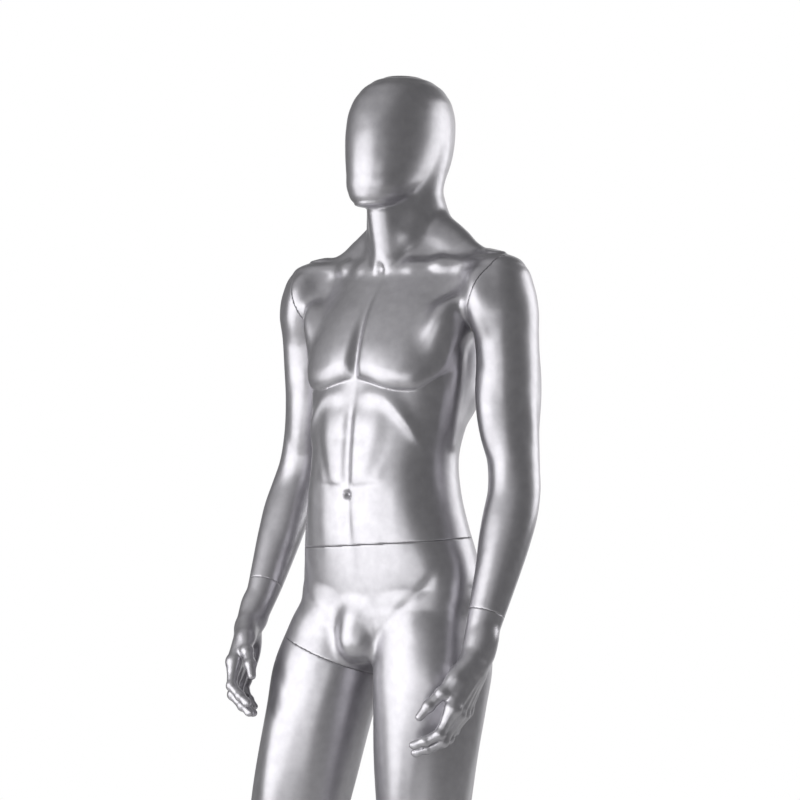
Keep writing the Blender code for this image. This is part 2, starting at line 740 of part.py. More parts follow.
def make_calf_socket(body, shell, steel, board):
    """The closed tube in the left calf that takes the rod, its bulkhead and its grub screw."""
    frame = rod_frame()
    length = (ROD_TIP - ROD_FOOT).length
    low, high = length - SOCKET_LENGTH, length + 0.006
    socket = cut(
        cylinder("socket", SOCKET_RADIUS, low, high, frame),
        cylinder("bore", SOCKET_BORE, low - 0.01, length + 0.0005, frame),
    )
    back = frame @ Matrix.Rotation(math.radians(-62), 4, "Z")
    screw_frame = back @ Matrix.Translation((0, 0, length - 0.055)) @ Matrix.Rotation(math.pi / 2, 4, "Y")
    cut(socket, cylinder("thread", 0.0028, 0, 0.02, screw_frame, sides=16))
    finish(socket, "calf_socket", body, steel)
    screw = cut(
        cylinder("grub", 0.0024, ROD_RADIUS + 0.0004, 0.0180, screw_frame, sides=16),
        cylinder("hex", 0.0013, 0.0150, 0.03, screw_frame, sides=6),
    )
    finish(screw, "calf_grub_screw", body, steel)
    level = Matrix.Translation((0, 0, 0.315))
    slab = box("slab", (0.02, -0.2, 0), (0.2, 0.2, 0.008), level)
    bulkhead = boolean(slab, "INTERSECT", leg_volume(1, WALL + FIT_GAP))
    cut(bulkhead, cylinder("hole", SOCKET_RADIUS + FIT_GAP, 0.1, 0.5, frame))
    finish(bulkhead, "calf_bulkhead", body, board)
    return cut(
        shell,
        cylinder("mouth", SOCKET_RADIUS + FIT_GAP, 0.1, length, frame),
        cylinder("screw_way", 0.0036, 0, 0.06, screw_frame, sides=16),
    )


def make_arm(side, torso, looks):
    """An arm and its hand, built on the left side and mirrored for the right one."""
    place, bend = ("left", Vector()) if side > 0 else ("right", ELBOW_BEND)
    wrist = wrist_seam(bend)
    snug = WALL + 2 * FIT_GAP
    shell = cut(
        arm_volume(bend), half_space(SHOULDER, SEAM_GAP, -0.5), half_space(wrist, -SEAM_GAP)
    )
    cut(shell, arm_volume(bend, WALL))
    lock = Lock(wrist, 0.016)
    hand_shell = hand_volume(place, bend)
    cut(hand_shell, half_space(wrist, SEAM_GAP, -1.0), lock.stud_recess())
    volumes = arm_volume(bend, snug), arm_volume(bend, snug), arm_volume(bend, snug)
    shoulder_parts = lock_parts(Lock(SHOULDER, 0.028), *volumes[:2])
    wrist_parts = lock_parts(lock, volumes[2])
    shoulder = SHOULDER
    if side < 0:
        shoulder, wrist = mirrored(shoulder), mirrored(wrist)
        for obj in (shell, hand_shell, *(row[1] for row in shoulder_parts + wrist_parts)):
            reflect(obj)
    arm = body_empty(f"{place}_arm", seam_frame(shoulder), torso)
    hand = body_empty(f"{place}_hand", seam_frame(wrist), arm)
    finish(shell, f"{place}_arm_shell", arm, looks["shell"], shoulder)
    finish(hand_shell, f"{place}_hand", hand, looks["shell"], wrist)
    finish_joint(f"{place}_shoulder", shoulder_parts, shoulder, torso, arm, looks)
    finish_joint(f"{place}_wrist", wrist_parts, wrist, arm, hand, looks)


def make_torso(body, look):
    shell = cut(torso_volume(), half_space(WAIST, SEAM_GAP, -0.4))
    straight = Vector()
    stub = cut(arm_volume(straight), half_space(SHOULDER, -SEAM_GAP))
    stub_hollow = cut(arm_volume(straight, WALL), half_space(SHOULDER, 0.01))
    joined(shell, reflect(copied(stub)), stub)
    cut(shell, joined(torso_volume(WALL), reflect(copied(stub_hollow)), stub_hollow))
    finish(shell, "torso_shell", body, look, WAIST)


def make_hips(body, looks):
    """The pelvis with the planted left leg, and the stub that the loose leg hangs on."""
    shell = boolean(torso_volume(), "INTERSECT", half_space(WAIST, -SEAM_GAP, -0.3))
    stub = cut(leg_volume(-1), half_space(THIGH, -SEAM_GAP, 1.0))
    joined(shell, leg_volume(1), stub)
    hollow = boolean(torso_volume(WALL), "INTERSECT", half_space(WAIST, 0.02, -0.32))
    stub_hollow = cut(leg_volume(-1, WALL), half_space(THIGH, 0.02, 1.0))
    cut(shell, joined(hollow, leg_volume(1, WALL), stub_hollow))
    make_calf_socket(body, shell, looks["steel"], looks["board"])
    finish(shell, "hips_shell", body, looks["shell"])


def make_right_leg(body, look):
    shell = cut(leg_volume(-1), half_space(THIGH, SEAM_GAP, -0.5))
    cut(shell, leg_volume(-1, WALL))
    finish(shell, "right_leg_shell", body, look, THIGH)


def main():
    clear_scene()
    PARTS["collection"] = new_collection("mannequin")
    looks = {
        "shell": material("silver_shell", (0.56, 0.55, 0.58), 0.28, 0.9),
        "steel": material("zinc_steel", (0.60, 0.61, 0.62), 0.35, 1.0),
        "plate": material("brushed_steel", (0.55, 0.55, 0.56), 0.32, 1.0),
        "chrome": material("chrome", (0.80, 0.80, 0.82), 0.08, 1.0),
        "board": material("flange_board", (0.42, 0.40, 0.41), 0.60, 0.0),
        "rubber": material("black_rubber", (0.03, 0.03, 0.03), 0.80, 0.0),
    }
    base = body_empty("base", Matrix.Identity(4))
    hips = body_empty("hips", rod_frame(), base)
    right_leg = body_empty("right_leg", seam_frame(THIGH), hips)
    torso = body_empty("torso", seam_frame(WAIST), hips)

    make_base(base, looks["plate"], looks["chrome"], looks["rubber"])
    make_hips(hips, looks)
    make_right_leg(right_leg, looks["shell"])
    make_torso(torso, looks["shell"])
    make_arm(1, torso, looks)
    make_arm(-1, torso, looks)

    snug = WALL + 2 * FIT_GAP
    thigh_parts = lock_parts(Lock(THIGH, 0.036), leg_volume(-1, snug), leg_volume(-1, snug))
    finish_joint("thigh", thigh_parts, THIGH, hips, right_leg, looks)
    waist_parts = lock_parts(Lock(WAIST, 0.045), torso_volume(snug), torso_volume(snug))
    finish_joint("waist", waist_parts, WAIST, hips, torso, looks)
    hips.matrix_world = Matrix.Translation(STAND) @ hips.matrix_world


main()
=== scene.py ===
"""A full-body display mannequin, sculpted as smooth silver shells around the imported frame.

The body is one implicit surface: tapered trunks and limbs from a few heights each, with muscles
blended in. It is turned into a fine mesh, cut where the frame's joints say the seams are, and
given the thickness of a moulded shell.
"""

import json
import math
from contextlib import contextmanager

import bmesh
import bpy
import numpy as np
from mathutils import Matrix, Vector


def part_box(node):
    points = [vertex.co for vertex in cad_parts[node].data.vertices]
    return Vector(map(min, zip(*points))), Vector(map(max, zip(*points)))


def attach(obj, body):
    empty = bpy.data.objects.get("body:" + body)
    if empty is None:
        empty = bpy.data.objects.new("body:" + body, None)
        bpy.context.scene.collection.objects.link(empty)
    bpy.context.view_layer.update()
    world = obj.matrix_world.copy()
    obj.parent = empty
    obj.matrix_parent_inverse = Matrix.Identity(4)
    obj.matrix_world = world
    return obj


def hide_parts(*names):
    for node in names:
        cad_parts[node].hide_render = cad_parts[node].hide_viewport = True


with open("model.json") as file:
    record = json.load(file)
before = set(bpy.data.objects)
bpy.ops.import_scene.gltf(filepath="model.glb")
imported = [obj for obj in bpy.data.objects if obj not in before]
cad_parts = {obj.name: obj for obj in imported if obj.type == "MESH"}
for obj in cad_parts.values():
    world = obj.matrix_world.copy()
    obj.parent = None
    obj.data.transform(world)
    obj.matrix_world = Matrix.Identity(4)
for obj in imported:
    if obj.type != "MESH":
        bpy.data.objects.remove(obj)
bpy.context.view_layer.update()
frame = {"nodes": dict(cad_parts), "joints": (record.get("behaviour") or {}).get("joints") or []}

CELL = 0.0032
HAND_CELL = 0.0018
WALL = 0.0034
SEAM = 0.0002  # from each shell's rim to the joint's plane
JOINTS = {joint["name"]: joint for joint in frame["joints"]}

PLACES = ("left", "right")
# From the figure's own frame, which the tables below are given in, to the world
SHOULDERS_BEHIND = 0.028
SHOULDERS = [Vector(JOINTS[f"{place}_shoulder_turn"]["pos_m"]) for place in PLACES]
AXIS = (SHOULDERS[0] + SHOULDERS[1]) / 2
SHIFT = np.array((AXIS.x, AXIS.y - SHOULDERS_BEHIND, 0.0))
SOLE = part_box("hips_shell")[0].z
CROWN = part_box("torso_shell")[1].z
ELBOW = 1.19
ELBOW_BEND = np.array((-0.05, -0.11, 0.12))

# Height, centre x, centre y, half width, fore, aft, squareness
TRUNK = (
    (0.885, 0.012, -0.012, 0.020, 0.020, 0.020, 2.0),
    (0.905, 0.013, -0.014, 0.060, 0.050, 0.050, 2.1),
    (0.930, 0.016, -0.018, 0.112, 0.083, 0.090, 2.2),
    (0.965, 0.018, -0.022, 0.146, 0.100, 0.112, 2.3),
    (1.010, 0.018, -0.026, 0.157, 0.104, 0.114, 2.4),
    (1.060, 0.014, -0.029, 0.156, 0.106, 0.106, 2.4),
    (1.110, 0.009, -0.030, 0.148, 0.107, 0.099, 2.35),
    (1.170, 0.005, -0.029, 0.136, 0.106, 0.096, 2.3),
    (1.230, 0.002, -0.024, 0.130, 0.106, 0.094, 2.3),
    (1.300, 0.000, -0.014, 0.138, 0.106, 0.104, 2.35),
    (1.370, 0.000, -0.002, 0.1455, 0.104, 0.116, 2.4),
    (1.430, 0.000, 0.008, 0.1455, 0.102, 0.122, 2.4),
    (1.480, 0.000, 0.018, 0.140, 0.094, 0.118, 2.3),
    (1.520, 0.000, 0.026, 0.124, 0.076, 0.104, 2.2),
    (1.550, 0.000, 0.032, 0.098, 0.062, 0.086, 2.1),
    (1.580, 0.000, 0.034, 0.070, 0.058, 0.070, 2.0),
    (1.610, 0.000, 0.030, 0.060, 0.058, 0.066, 2.0),
    (1.650, -0.001, 0.024, 0.057, 0.060, 0.066, 2.0),
    (1.690, -0.002, 0.018, 0.054, 0.060, 0.064, 2.0),
    (1.720, -0.002, 0.018, 0.040, 0.044, 0.050, 2.0),
)
HEAD = (
    (1.6540, -0.005, -0.053, 0.006, 0.006, 0.006, 2.0),
    (1.6565, -0.005, -0.052, 0.022, 0.020, 0.022, 2.0),
    (1.6650, -0.005, -0.044, 0.039, 0.037, 0.044, 2.0),
    (1.684, -0.004, -0.028, 0.0555, 0.061, 0.070, 2.1),
    (1.715, -0.002, -0.004, 0.067, 0.088, 0.092, 2.15),
    (1.750, -0.001, 0.010, 0.0755, 0.102, 0.105, 2.15),
    (1.790, 0.000, 0.018, 0.0805, 0.106, 0.110, 2.15),
    (1.825, 0.000, 0.022, 0.0785, 0.101, 0.105, 2.1),
    (1.850, 0.000, 0.024, 0.0705, 0.087, 0.092, 2.05),
    (1.869, 0.000, 0.025, 0.055, 0.066, 0.071, 2.0),
    (1.880, 0.000, 0.025, 0.034, 0.040, 0.043, 2.0),
    (1.8845, 0.000, 0.025, 0.012, 0.014, 0.015, 2.0),
    (CROWN, 0.000, 0.025, 0.003, 0.003, 0.003, 2.0),
)
ARM = (
    (1.574, 0.190, 0.030, 0.010, 0.010, 0.010, 2.0),
    (1.568, 0.191, 0.030, 0.028, 0.028, 0.028, 2.0),
    (1.550, 0.196, 0.030, 0.044, 0.047, 0.047, 2.0),
    (1.520, 0.201, 0.030, 0.053, 0.060, 0.059, 2.0),
    (1.480, 0.205, 0.032, 0.056, 0.066, 0.063, 2.0),
    (1.440, 0.208, 0.036, 0.050, 0.063, 0.062, 2.0),
    (1.390, 0.2095, 0.039, 0.0485, 0.060, 0.060, 2.0),
    (1.330, 0.209, 0.041, 0.0475, 0.059, 0.059, 2.0),
    (1.270, 0.215, 0.038, 0.045, 0.053, 0.053, 2.0),
    (1.220, 0.226, 0.031, 0.042, 0.045, 0.046, 2.0),
    (1.180, 0.233, 0.021, 0.043, 0.043, 0.046, 2.0),
    (1.140, 0.236, 0.007, 0.044, 0.044, 0.045, 2.0),
    (1.090, 0.236, -0.012, 0.041, 0.042, 0.042, 2.0),
    (1.030, 0.234, -0.036, 0.035, 0.037, 0.037, 2.0),
    (0.970, 0.232, -0.061, 0.0275, 0.032, 0.032, 2.05),
    (0.925, 0.232, -0.082, 0.0225, 0.0285, 0.0285, 2.1),
    (0.900, 0.232, -0.092, 0.019, 0.025, 0.025, 2.1),
    (0.885, 0.232, -0.098, 0.006, 0.008, 0.008, 2.0),
)
LEFT_LEG = (
    (1.045, 0.080, -0.020, 0.010, 0.010, 0.010, 2.0),
    (1.030, 0.084, -0.021, 0.048, 0.056, 0.064, 2.1),
    (0.985, 0.095, -0.025, 0.076, 0.088, 0.098, 2.2),
    (0.930, 0.104, -0.032, 0.0885, 0.098, 0.110, 2.2),
    (0.880, 0.110, -0.040, 0.0915, 0.100, 0.108, 2.2),
    (0.820, 0.111, -0.046, 0.0885, 0.100, 0.098, 2.1),
    (0.740, 0.108, -0.052, 0.0825, 0.0925, 0.085, 2.1),
    (0.660, 0.105, -0.056, 0.0755, 0.083, 0.0755, 2.0),
    (0.580, 0.102, -0.057, 0.0660, 0.070, 0.066, 2.0),
    (0.530, 0.100, -0.056, 0.0585, 0.062, 0.059, 2.0),
    (0.490, 0.099, -0.051, 0.0555, 0.058, 0.055, 2.0),
    (0.450, 0.099, -0.042, 0.0525, 0.054, 0.055, 2.0),
    (0.400, 0.100, -0.030, 0.0540, 0.050, 0.062, 2.0),
    (0.350, 0.101, -0.019, 0.0550, 0.048, 0.066, 2.0),
    (0.300, 0.101, -0.010, 0.0510, 0.045, 0.061, 2.0),
    (0.240, 0.101, 0.000, 0.042, 0.041, 0.049, 2.0),
    (0.170, 0.101, 0.008, 0.034, 0.036, 0.040, 2.0),
    (0.110, 0.102, 0.012, 0.031, 0.037, 0.037, 2.0),
    (0.070, 0.102, 0.012, 0.027, 0.037, 0.035, 2.0),
    (0.050, 0.102, 0.012, 0.010, 0.012, 0.012, 2.0),
)
# The loose right leg: the same sizes, its own line of centres
RIGHT_LINE = (
    (1.045, -0.052, -0.024),
    (0.985, -0.068, -0.033),
    (0.930, -0.080, -0.045),
    (0.880, -0.089, -0.060),
    (0.820, -0.095, -0.074),
    (0.740, -0.104, -0.090),
    (0.660, -0.113, -0.105),
    (0.580, -0.121, -0.119),
    (0.530, -0.126, -0.124),
    (0.490, -0.129, -0.121),
    (0.450, -0.132, -0.110),
    (0.400, -0.136, -0.094),
    (0.350, -0.140, -0.078),
    (0.300, -0.144, -0.064),
    (0.240, -0.148, -0.048),
    (0.170, -0.152, -0.034),
    (0.110, -0.154, -0.026),
    (0.070, -0.155, -0.024),
    (0.050, -0.155, -0.024),
)
LEFT_FOOT = (0.102, 0.012, 0.0, math.radians(10), -1)
RIGHT_FOOT = (-0.155, -0.024, 0.010, math.radians(18), 1)

# The left hand: towards the thumb, towards the palm, towards the fingertips
HAND_WRIST = Vector((0.2368, -0.089, 0.912))
HAND_REACH = Vector((-0.12, -0.40, -0.91))
# Which way each palm faces, both given on the left side
PALM_FACES = {1: Vector((-0.951, -0.309, 0.0)), -1: Vector((-0.93, 0.34, 0.0))}
FINGERS = (
    ((0.029, 0.001, 0.092), 0.0100, ((0.043, 0.0086, 10), (0.026, 0.0078, 38), (0.020, 0.0064, 8))),
    ((0.009, -0.001, 0.096), 0.0102, ((0.046, 0.0088, 9), (0.029, 0.0080, 40), (0.020, 0.0064, 8))),
    ((-0.012, 0.000, 0.091), 0.0098, ((0.042, 0.0084, 10), (0.027, 0.0076, 36), (0.019, 0.0062, 8))),
    ((-0.031, 0.003, 0.082), 0.0088, ((0.033, 0.0076, 10), (0.020, 0.0068, 28), (0.017, 0.0056, 8))),
)


# Fields: negative inside, in metres ---


def smooth_min(a, b, k):
    h = np.clip(0.5 + 0.5 * (b - a) / k, 0, 1)
    return b + (a - b) * h - k * h * (1 - h)


def smooth_max(a, b, k):
    return -smooth_min(-a, -b, k)


def ramp(value, low, high):
    t = np.clip((value - low) / (high - low), 0, 1)
    return t * t * (3 - 2 * t)


def bell(value, centre, width):
    return np.exp(-(((value - centre) / width) ** 2))


class Tube:
    """A trunk or limb: level sections along a smooth line of centres."""

    def __init__(self, rows, roll_from=0.0):
        rows = np.array(sorted(rows))
        z, values = rows[:, 0], rows[:, 1:]
        slopes = np.gradient(values, z, axis=0)
        self.z = np.arange(z[0], z[-1], 0.001)
        i = np.clip(np.searchsorted(z, self.z, "right") - 1, 0, len(z) - 2)
        step = (z[i + 1] - z[i])[:, None]
        t = (self.z[:, None] - z[i][:, None]) / step
        self.rows = (
            (2 * t**3 - 3 * t**2 + 1) * values[i]
            + (t**3 - 2 * t**2 + t) * step * slopes[i]
            + (3 * t**2 - 2 * t**3) * values[i + 1]
            + (t**3 - t**2) * step * slopes[i + 1]
        )
        self.roll_from = roll_from

    def level(self, p):
        """The height that counts for a point: the pelvis is rolled, its left side up."""
        roll = 0.08 * ramp(p[:, 2], self.roll_from, self.roll_from - 0.26) if self.roll_from else 0.0
        return p[:, 2] - roll * p[:, 0]

    def at(self, z):
        return [np.interp(z, self.z, column) for column in self.rows.T]

    def __call__(self, p):
        z = self.level(p)
        x, y, width, fore, aft, power = self.at(z)
        dx, dy = p[:, 0] - x, p[:, 1] - y
        depth = np.where(dy > 0, aft, fore)
        power = np.clip(power, 2, 3)
        size = ((np.abs(dx) / width) ** power + (np.abs(dy) / depth) ** power) ** (1 / power)
        f = np.hypot(dx, dy) * (1 - 1 / np.maximum(size, 1e-3))
        over = np.maximum(z - self.z[-1], 0) + np.maximum(self.z[0] - z, 0)
        return np.where(over > 0, np.hypot(np.maximum(f, 0), over), f)


class Field:
    """A field under construction at some points, with blending that skips far points."""

    def __init__(self, points):
        self.p = points
        self.f = np.full(len(points), 1.0)

    def near(self, low, high, k=0.012):
        margin = max(0.016, k + 0.004)
        low, high = np.array(low) - margin, np.array(high) + margin
        found = np.nonzero((self.p[:, 2] > low[2]) & (self.p[:, 2] < high[2]))[0]
        for axis in (0, 1):
            value = self.p[found, axis]
            found = found[(value > low[axis]) & (value < high[axis])]
        return found

    def blend(self, indices, values, k, carve=False):
        if len(indices):
            old = self.f[indices]
            self.f[indices] = smooth_max(old, -values, k) if carve else smooth_min(old, values, k)

    def muscle(self, centre, radii, along=(0, 0, 1), k=0.012, carve=False):
        """An ellipsoid: its third radius runs along the given direction."""
        centre, radii = np.array(centre), np.array(radii)
        upright = Vector(along) if along[2] > 0 else -Vector(along)
        turn = np.array(Vector((0, 0, 1)).rotation_difference(upright).to_matrix())
        reach = radii.max()
        i = self.near(centre - reach, centre + reach, k)
        q = (self.p[i] - centre) @ turn
        scaled = np.linalg.norm(q / radii, axis=1)
        values = scaled * (scaled - 1) / np.maximum(np.linalg.norm(q / radii**2, axis=1), 1e-9)
        self.blend(i, values, k, carve)

    def rod(self, start, end, start_radius, end_radius, k=0.008, carve=False):
        """A round bar with its own radius at each end."""
        start, end = np.array(start), np.array(end)
        reach = max(start_radius, end_radius)
        i = self.near(np.minimum(start, end) - reach, np.maximum(start, end) + reach, k)
        q, axis = self.p[i] - start, end - start
        t = np.clip(q @ axis / (axis @ axis), 0, 1)
        distance = np.linalg.norm(q - t[:, None] * axis, axis=1)
        self.blend(i, distance - (start_radius + t * (end_radius - start_radius)), k, carve)


trunk = Tube(TRUNK, roll_from=1.25)
head = Tube(HEAD)
arm_tube = Tube(ARM)
left_leg = Tube(LEFT_LEG)
line = np.array(sorted(RIGHT_LINE))
right_leg = Tube(
    [(row[0], *(np.interp(row[0], line[:, 0], line[:, k]) for k in (1, 2)), *row[3:]) for row in LEFT_LEG]
)


def rounded(value, width, power=2.0):
    """A step from 0 to 1 over the given width, steep at its foot and level at its top."""
    t = np.clip(value / width, 0, 1)
    return (1 - (1 - t) ** power + 1e-4) ** 0.6


def chest_relief(x, z):
    """How far the two chest muscles stand out, in millimetres."""
    side = np.abs(x)
    lower = 1.367 - 0.0205 * ramp(side, -0.010, 0.095) + 0.034 * ramp(side, 0.100, 0.150) ** 1.5
    height = z - lower
    swell = 1 - 0.90 * ramp(height, 0.022, 0.180)
    groove = 1 - 0.92 * bell(side, 0, 0.010)
    pec = 18.5 * rounded(height, 0.034) * swell * groove * (0.80 + 0.20 * ramp(side, 0, 0.050))
    pec = pec * (1 - 0.40 * ramp(side, 0.090, 0.150))
    return np.where(height > 0, pec, 0)


def belly_relief(x, z, x_middle):
    """Ribs, the flat muscles of the belly with their grooves, the navel and the groin line."""
    x = x - x_middle
    side = np.abs(x)
    # The shield of the belly muscles, one oval on each side of the midline
    shield = np.exp(-(((side - 0.030) / 0.034) ** 4) - ((z - 1.250) / 0.066) ** 6)
    shield = 4.6 * shield * (1 - bell(side, 0, 0.010))
    shield = shield - 1.2 * bell(z, 1.268, 0.010) * bell(side, 0.022, 0.020)
    below = 2.6 * np.exp(-(((side - 0.030) / 0.036) ** 4)) * bell(z, 1.120, 0.055)
    below = below * (1 - bell(side, 0, 0.012))
    arch = 4.2 * bell(z, 1.338 - 14 * np.maximum(side - 0.045, 0) ** 2, 0.017)
    arch = arch * ramp(side, 0.004, 0.040) * ramp(side, 0.135, 0.095)
    slant = -2.6 * bell(side, 0.066 - 0.32 * (1.262 - z), 0.012) * bell(z, 1.222, 0.034)
    crease = -1.5 * bell(z, 1.1845 + 0.004 * side / 0.06, 0.0065) * ramp(side, 0.075, 0.050)
    crease = crease * ramp(side, 0.006, 0.014)
    midline = -1.3 * bell(side, 0, 0.009) * ramp(z, 1.075, 1.13) * ramp(z, 1.385, 1.35)
    oblique = 3.0 * bell(side, 0.098, 0.026) * bell(z, 1.175, 0.060)
    groin = -4.0 * bell(z, 0.926 + 1.00 * (side - 0.035), 0.012) * ramp(side, 0.020, 0.050)
    groin = groin * ramp(side, 0.145, 0.115)
    navel = -7 * np.exp(-((x / 0.0052) ** 2) - ((z - 1.1735) / 0.0058) ** 2)
    hood = 1.2 * np.exp(-((x / 0.0085) ** 2) - ((z - 1.1825) / 0.0042) ** 2)
    return shield + below + arch + slant + crease + midline + oblique + groin + navel + hood


def back_relief(x, z, x_middle):
    side = np.abs(x - x_middle)
    spine = -7 * bell(side, 0, 0.013) * ramp(z, 1.06, 1.12) * ramp(z, 1.56, 1.48)
    columns = 4 * bell(side, 0.035, 0.020) * ramp(z, 1.03, 1.10) * ramp(z, 1.42, 1.30)
    blades = 7 * bell(side, 0.090, 0.034) * bell(z, 1.435, 0.060)
    blades = blades - 2.5 * bell(side, 0.120 - 0.5 * (z - 1.40), 0.008) * bell(z, 1.40, 0.04)
    lats = 5 * bell(side, 0.115, 0.030) * bell(z, 1.335, 0.060)
    return spine + columns + blades + lats


def add_trunk(body):
    i = body.near((-0.20, -0.18, 0.86), (0.20, 0.18, CROWN))
    p = body.p[i]
    f = trunk(p)
    z = trunk.level(p)
    x_middle, y_middle, _, fore, _, _ = trunk.at(z)
    ahead = (y_middle - p[:, 1]) / fore
    relief = chest_relief(p[:, 0], z) + belly_relief(p[:, 0], z, x_middle)
    f = f - 0.001 * relief * ramp(ahead, 0.10, 0.55)
    f = f - 0.001 * back_relief(p[:, 0], z, x_middle) * ramp(-ahead, 0.15, 0.6)
    body.blend(i, f, 0.001)


def mirrored(body):
    """The same points seen from the left side, to add the same muscles on both sides."""
    body.p = body.p * np.array((-1, 1, 1))


def add_torso_muscles(body):
    for lift in (0.006, -0.004):
        # Trapezius, from the neck down to the shoulder, and the yoke under it
        body.rod((0.022, 0.056, 1.650), (0.085, 0.046, 1.588 + lift), 0.034, 0.028, k=0.040)
        body.rod((0.085, 0.046, 1.588 + lift), (0.200, 0.036, 1.537), 0.028, 0.024, k=0.035)
        body.rod((0.050, 0.050, 1.520), (0.160, 0.040, 1.500), 0.070, 0.050, k=0.03)
        # Collar bone, from the notch above the breastbone to the shoulder
        body.rod((0.014, -0.024, 1.5465), (0.052, -0.017, 1.5515), 0.0072, 0.0058, k=0.020)
        body.rod((0.052, -0.017, 1.5515), (0.100, -0.001, 1.5565), 0.0058, 0.0058, k=0.020)
        body.rod((0.100, -0.001, 1.5565), (0.172, 0.024, 1.5540), 0.0058, 0.0080, k=0.022)
        # The cord from behind the ear to the notch
        body.rod((0.040, 0.036, 1.670), (0.030, -0.006, 1.610), 0.016, 0.012, k=0.024)
        body.rod((0.030, -0.006, 1.610), (0.011, -0.024, 1.553), 0.012, 0.0065, k=0.012)
        # Outer chest, which runs under the front of the shoulder
        body.muscle((0.128, -0.028, 1.446), (0.030, 0.046, 0.060), (0.45, 0.2, 1), k=0.022)
        # Broad back muscle below the armpit
        body.muscle((0.110, 0.052, 1.385), (0.029, 0.052, 0.095), (0.10, 0, 1), k=0.016)
        # Front edge of the broad back muscle, seen as a soft line down the ribs
        body.rod((0.128, -0.014, 1.400), (0.118, -0.014, 1.260), 0.016, 0.008, k=0.018)
        mirrored(body)
    # Nape
    body.rod((0.0, 0.052, 1.735), (0.0, 0.046, 1.640), 0.048, 0.046, k=0.030)
    # Throat and its two soft hollows
    body.rod((0.0, -0.030, 1.648), (0.0, -0.022, 1.575), 0.026, 0.020, k=0.022)
    body.muscle((0.0, -0.048, 1.5520), (0.008, 0.012, 0.009), k=0.008, carve=True)


def add_arm(body, side):
    """The upper arm and forearm, blended into the trunk only above the armpit."""
    real = body.p
    body.p = arm_space(real, side)
    i = body.near((0.13, -0.13, 0.86), (0.30, 0.13, 1.60))
    arm = Field(body.p[i])
    inside = arm.near((0.13, -0.13, 0.86), (0.30, 0.13, 1.60))
    arm.blend(inside, arm_tube(arm.p[inside]), 0.001)
    # Shoulder cap in three heads, which end in a point on the outside of the arm
    arm.muscle((0.196, -0.006, 1.487), (0.030, 0.036, 0.066), (0.16, 0.14, -1), k=0.012)
    arm.muscle((0.216, 0.030, 1.480), (0.032, 0.036, 0.082), (0.10, 0.02, -1), k=0.010)
    arm.muscle((0.200, 0.064, 1.480), (0.032, 0.030, 0.068), (0.14, -0.16, -1), k=0.012)
    # Biceps, triceps and the muscle between them
    arm.muscle((0.200, 0.012, 1.325), (0.029, 0.032, 0.094), (-0.10, 0.05, 1), k=0.010)
    arm.muscle((0.208, 0.072, 1.345), (0.036, 0.034, 0.100), (-0.03, 0.10, 1), k=0.014)
    arm.muscle((0.236, 0.040, 1.300), (0.018, 0.020, 0.060), (-0.12, 0, 1), k=0.012)
    # Forearm: the long outer muscle, the inner flexors and the point of the elbow
    arm.muscle((0.249, 0.006, 1.150), (0.022, 0.026, 0.082), (-0.06, 0.32, 1), k=0.012)
    arm.muscle((0.222, -0.006, 1.130), (0.024, 0.026, 0.085), (0.06, 0.32, 1), k=0.012)
    arm.muscle((0.236, 0.026, 1.115), (0.022, 0.022, 0.080), (0.0, 0.38, 1), k=0.012)
    arm.muscle((0.236, 0.062, 1.178), (0.017, 0.017, 0.030), (0, 0.2, 1), k=0.014)
    values = arm.f
    k = 0.003 + 0.030 * ramp(arm.p[:, 2], 1.440, 1.500)
    body.f[i] = smooth_min(body.f[i], values, k)
    body.p = real


def arm_space(p, side):
    """Points of either arm as points of the straighter left arm."""
    if side > 0:
        return p
    q = p * np.array((-1, 1, 1))
    below = ELBOW - q[:, 2]
    drop = (below + np.sqrt(below**2 + 0.0012)) / 2 / (1 - ELBOW_BEND[2])
    return q - drop[:, None] * ELBOW_BEND


def add_leg(body, tube, side):
    top = 1.06
    i = body.near((-0.30, -0.30, 0.0), (0.30, 0.20, top))
    p = body.p[i]
    i, p = i[p[:, 0] * side > -0.03], p[p[:, 0] * side > -0.03]
    f = tube(p)
    body.blend(i, f, 0.028)

    def at(z, across, ahead):
        """A point in the leg at a height, given out from its centre and ahead of it."""
        x, y = tube.at(z)[:2]
        return (float(x) + side * across, float(y) - ahead, z)

    along = Vector(at(0.60, 0, 0)) - Vector(at(0.85, 0, 0))
    shin = Vector(at(0.15, 0, 0)) - Vector(at(0.40, 0, 0))
    # Thigh: front, outer, inner above the knee, and the hamstrings
    body.muscle(at(0.735, 0.008, 0.056), (0.034, 0.036, 0.150), along, k=0.025)
    body.muscle(at(0.690, 0.046, 0.022), (0.032, 0.042, 0.165), along, k=0.022)
    body.muscle(at(0.600, -0.034, 0.026), (0.028, 0.032, 0.075), along, k=0.018)
    body.muscle(at(0.700, 0.020, -0.046), (0.030, 0.034, 0.155), along, k=0.025)
    body.muscle(at(0.700, -0.030, -0.040), (0.030, 0.034, 0.155), along, k=0.025)
    # Kneecap and the tendon below it
    body.muscle(at(0.503, 0.0, 0.040), (0.023, 0.020, 0.028), along, k=0.014)
    body.rod(at(0.475, 0, 0.040), at(0.425, 0, 0.044), 0.010, 0.008, k=0.014)
    # Calf in two heads, shin, and the tendon to the heel
    body.muscle(at(0.365, 0.022, -0.034), (0.026, 0.030, 0.080), shin, k=0.016)
    body.muscle(at(0.350, -0.024, -0.034), (0.027, 0.031, 0.088), shin, k=0.016)
    body.muscle(at(0.330, 0.014, 0.030), (0.020, 0.018, 0.110), shin, k=0.018)
    body.rod(at(0.240, 0, -0.036), at(0.070, 0, -0.034), 0.012, 0.010, k=0.016)


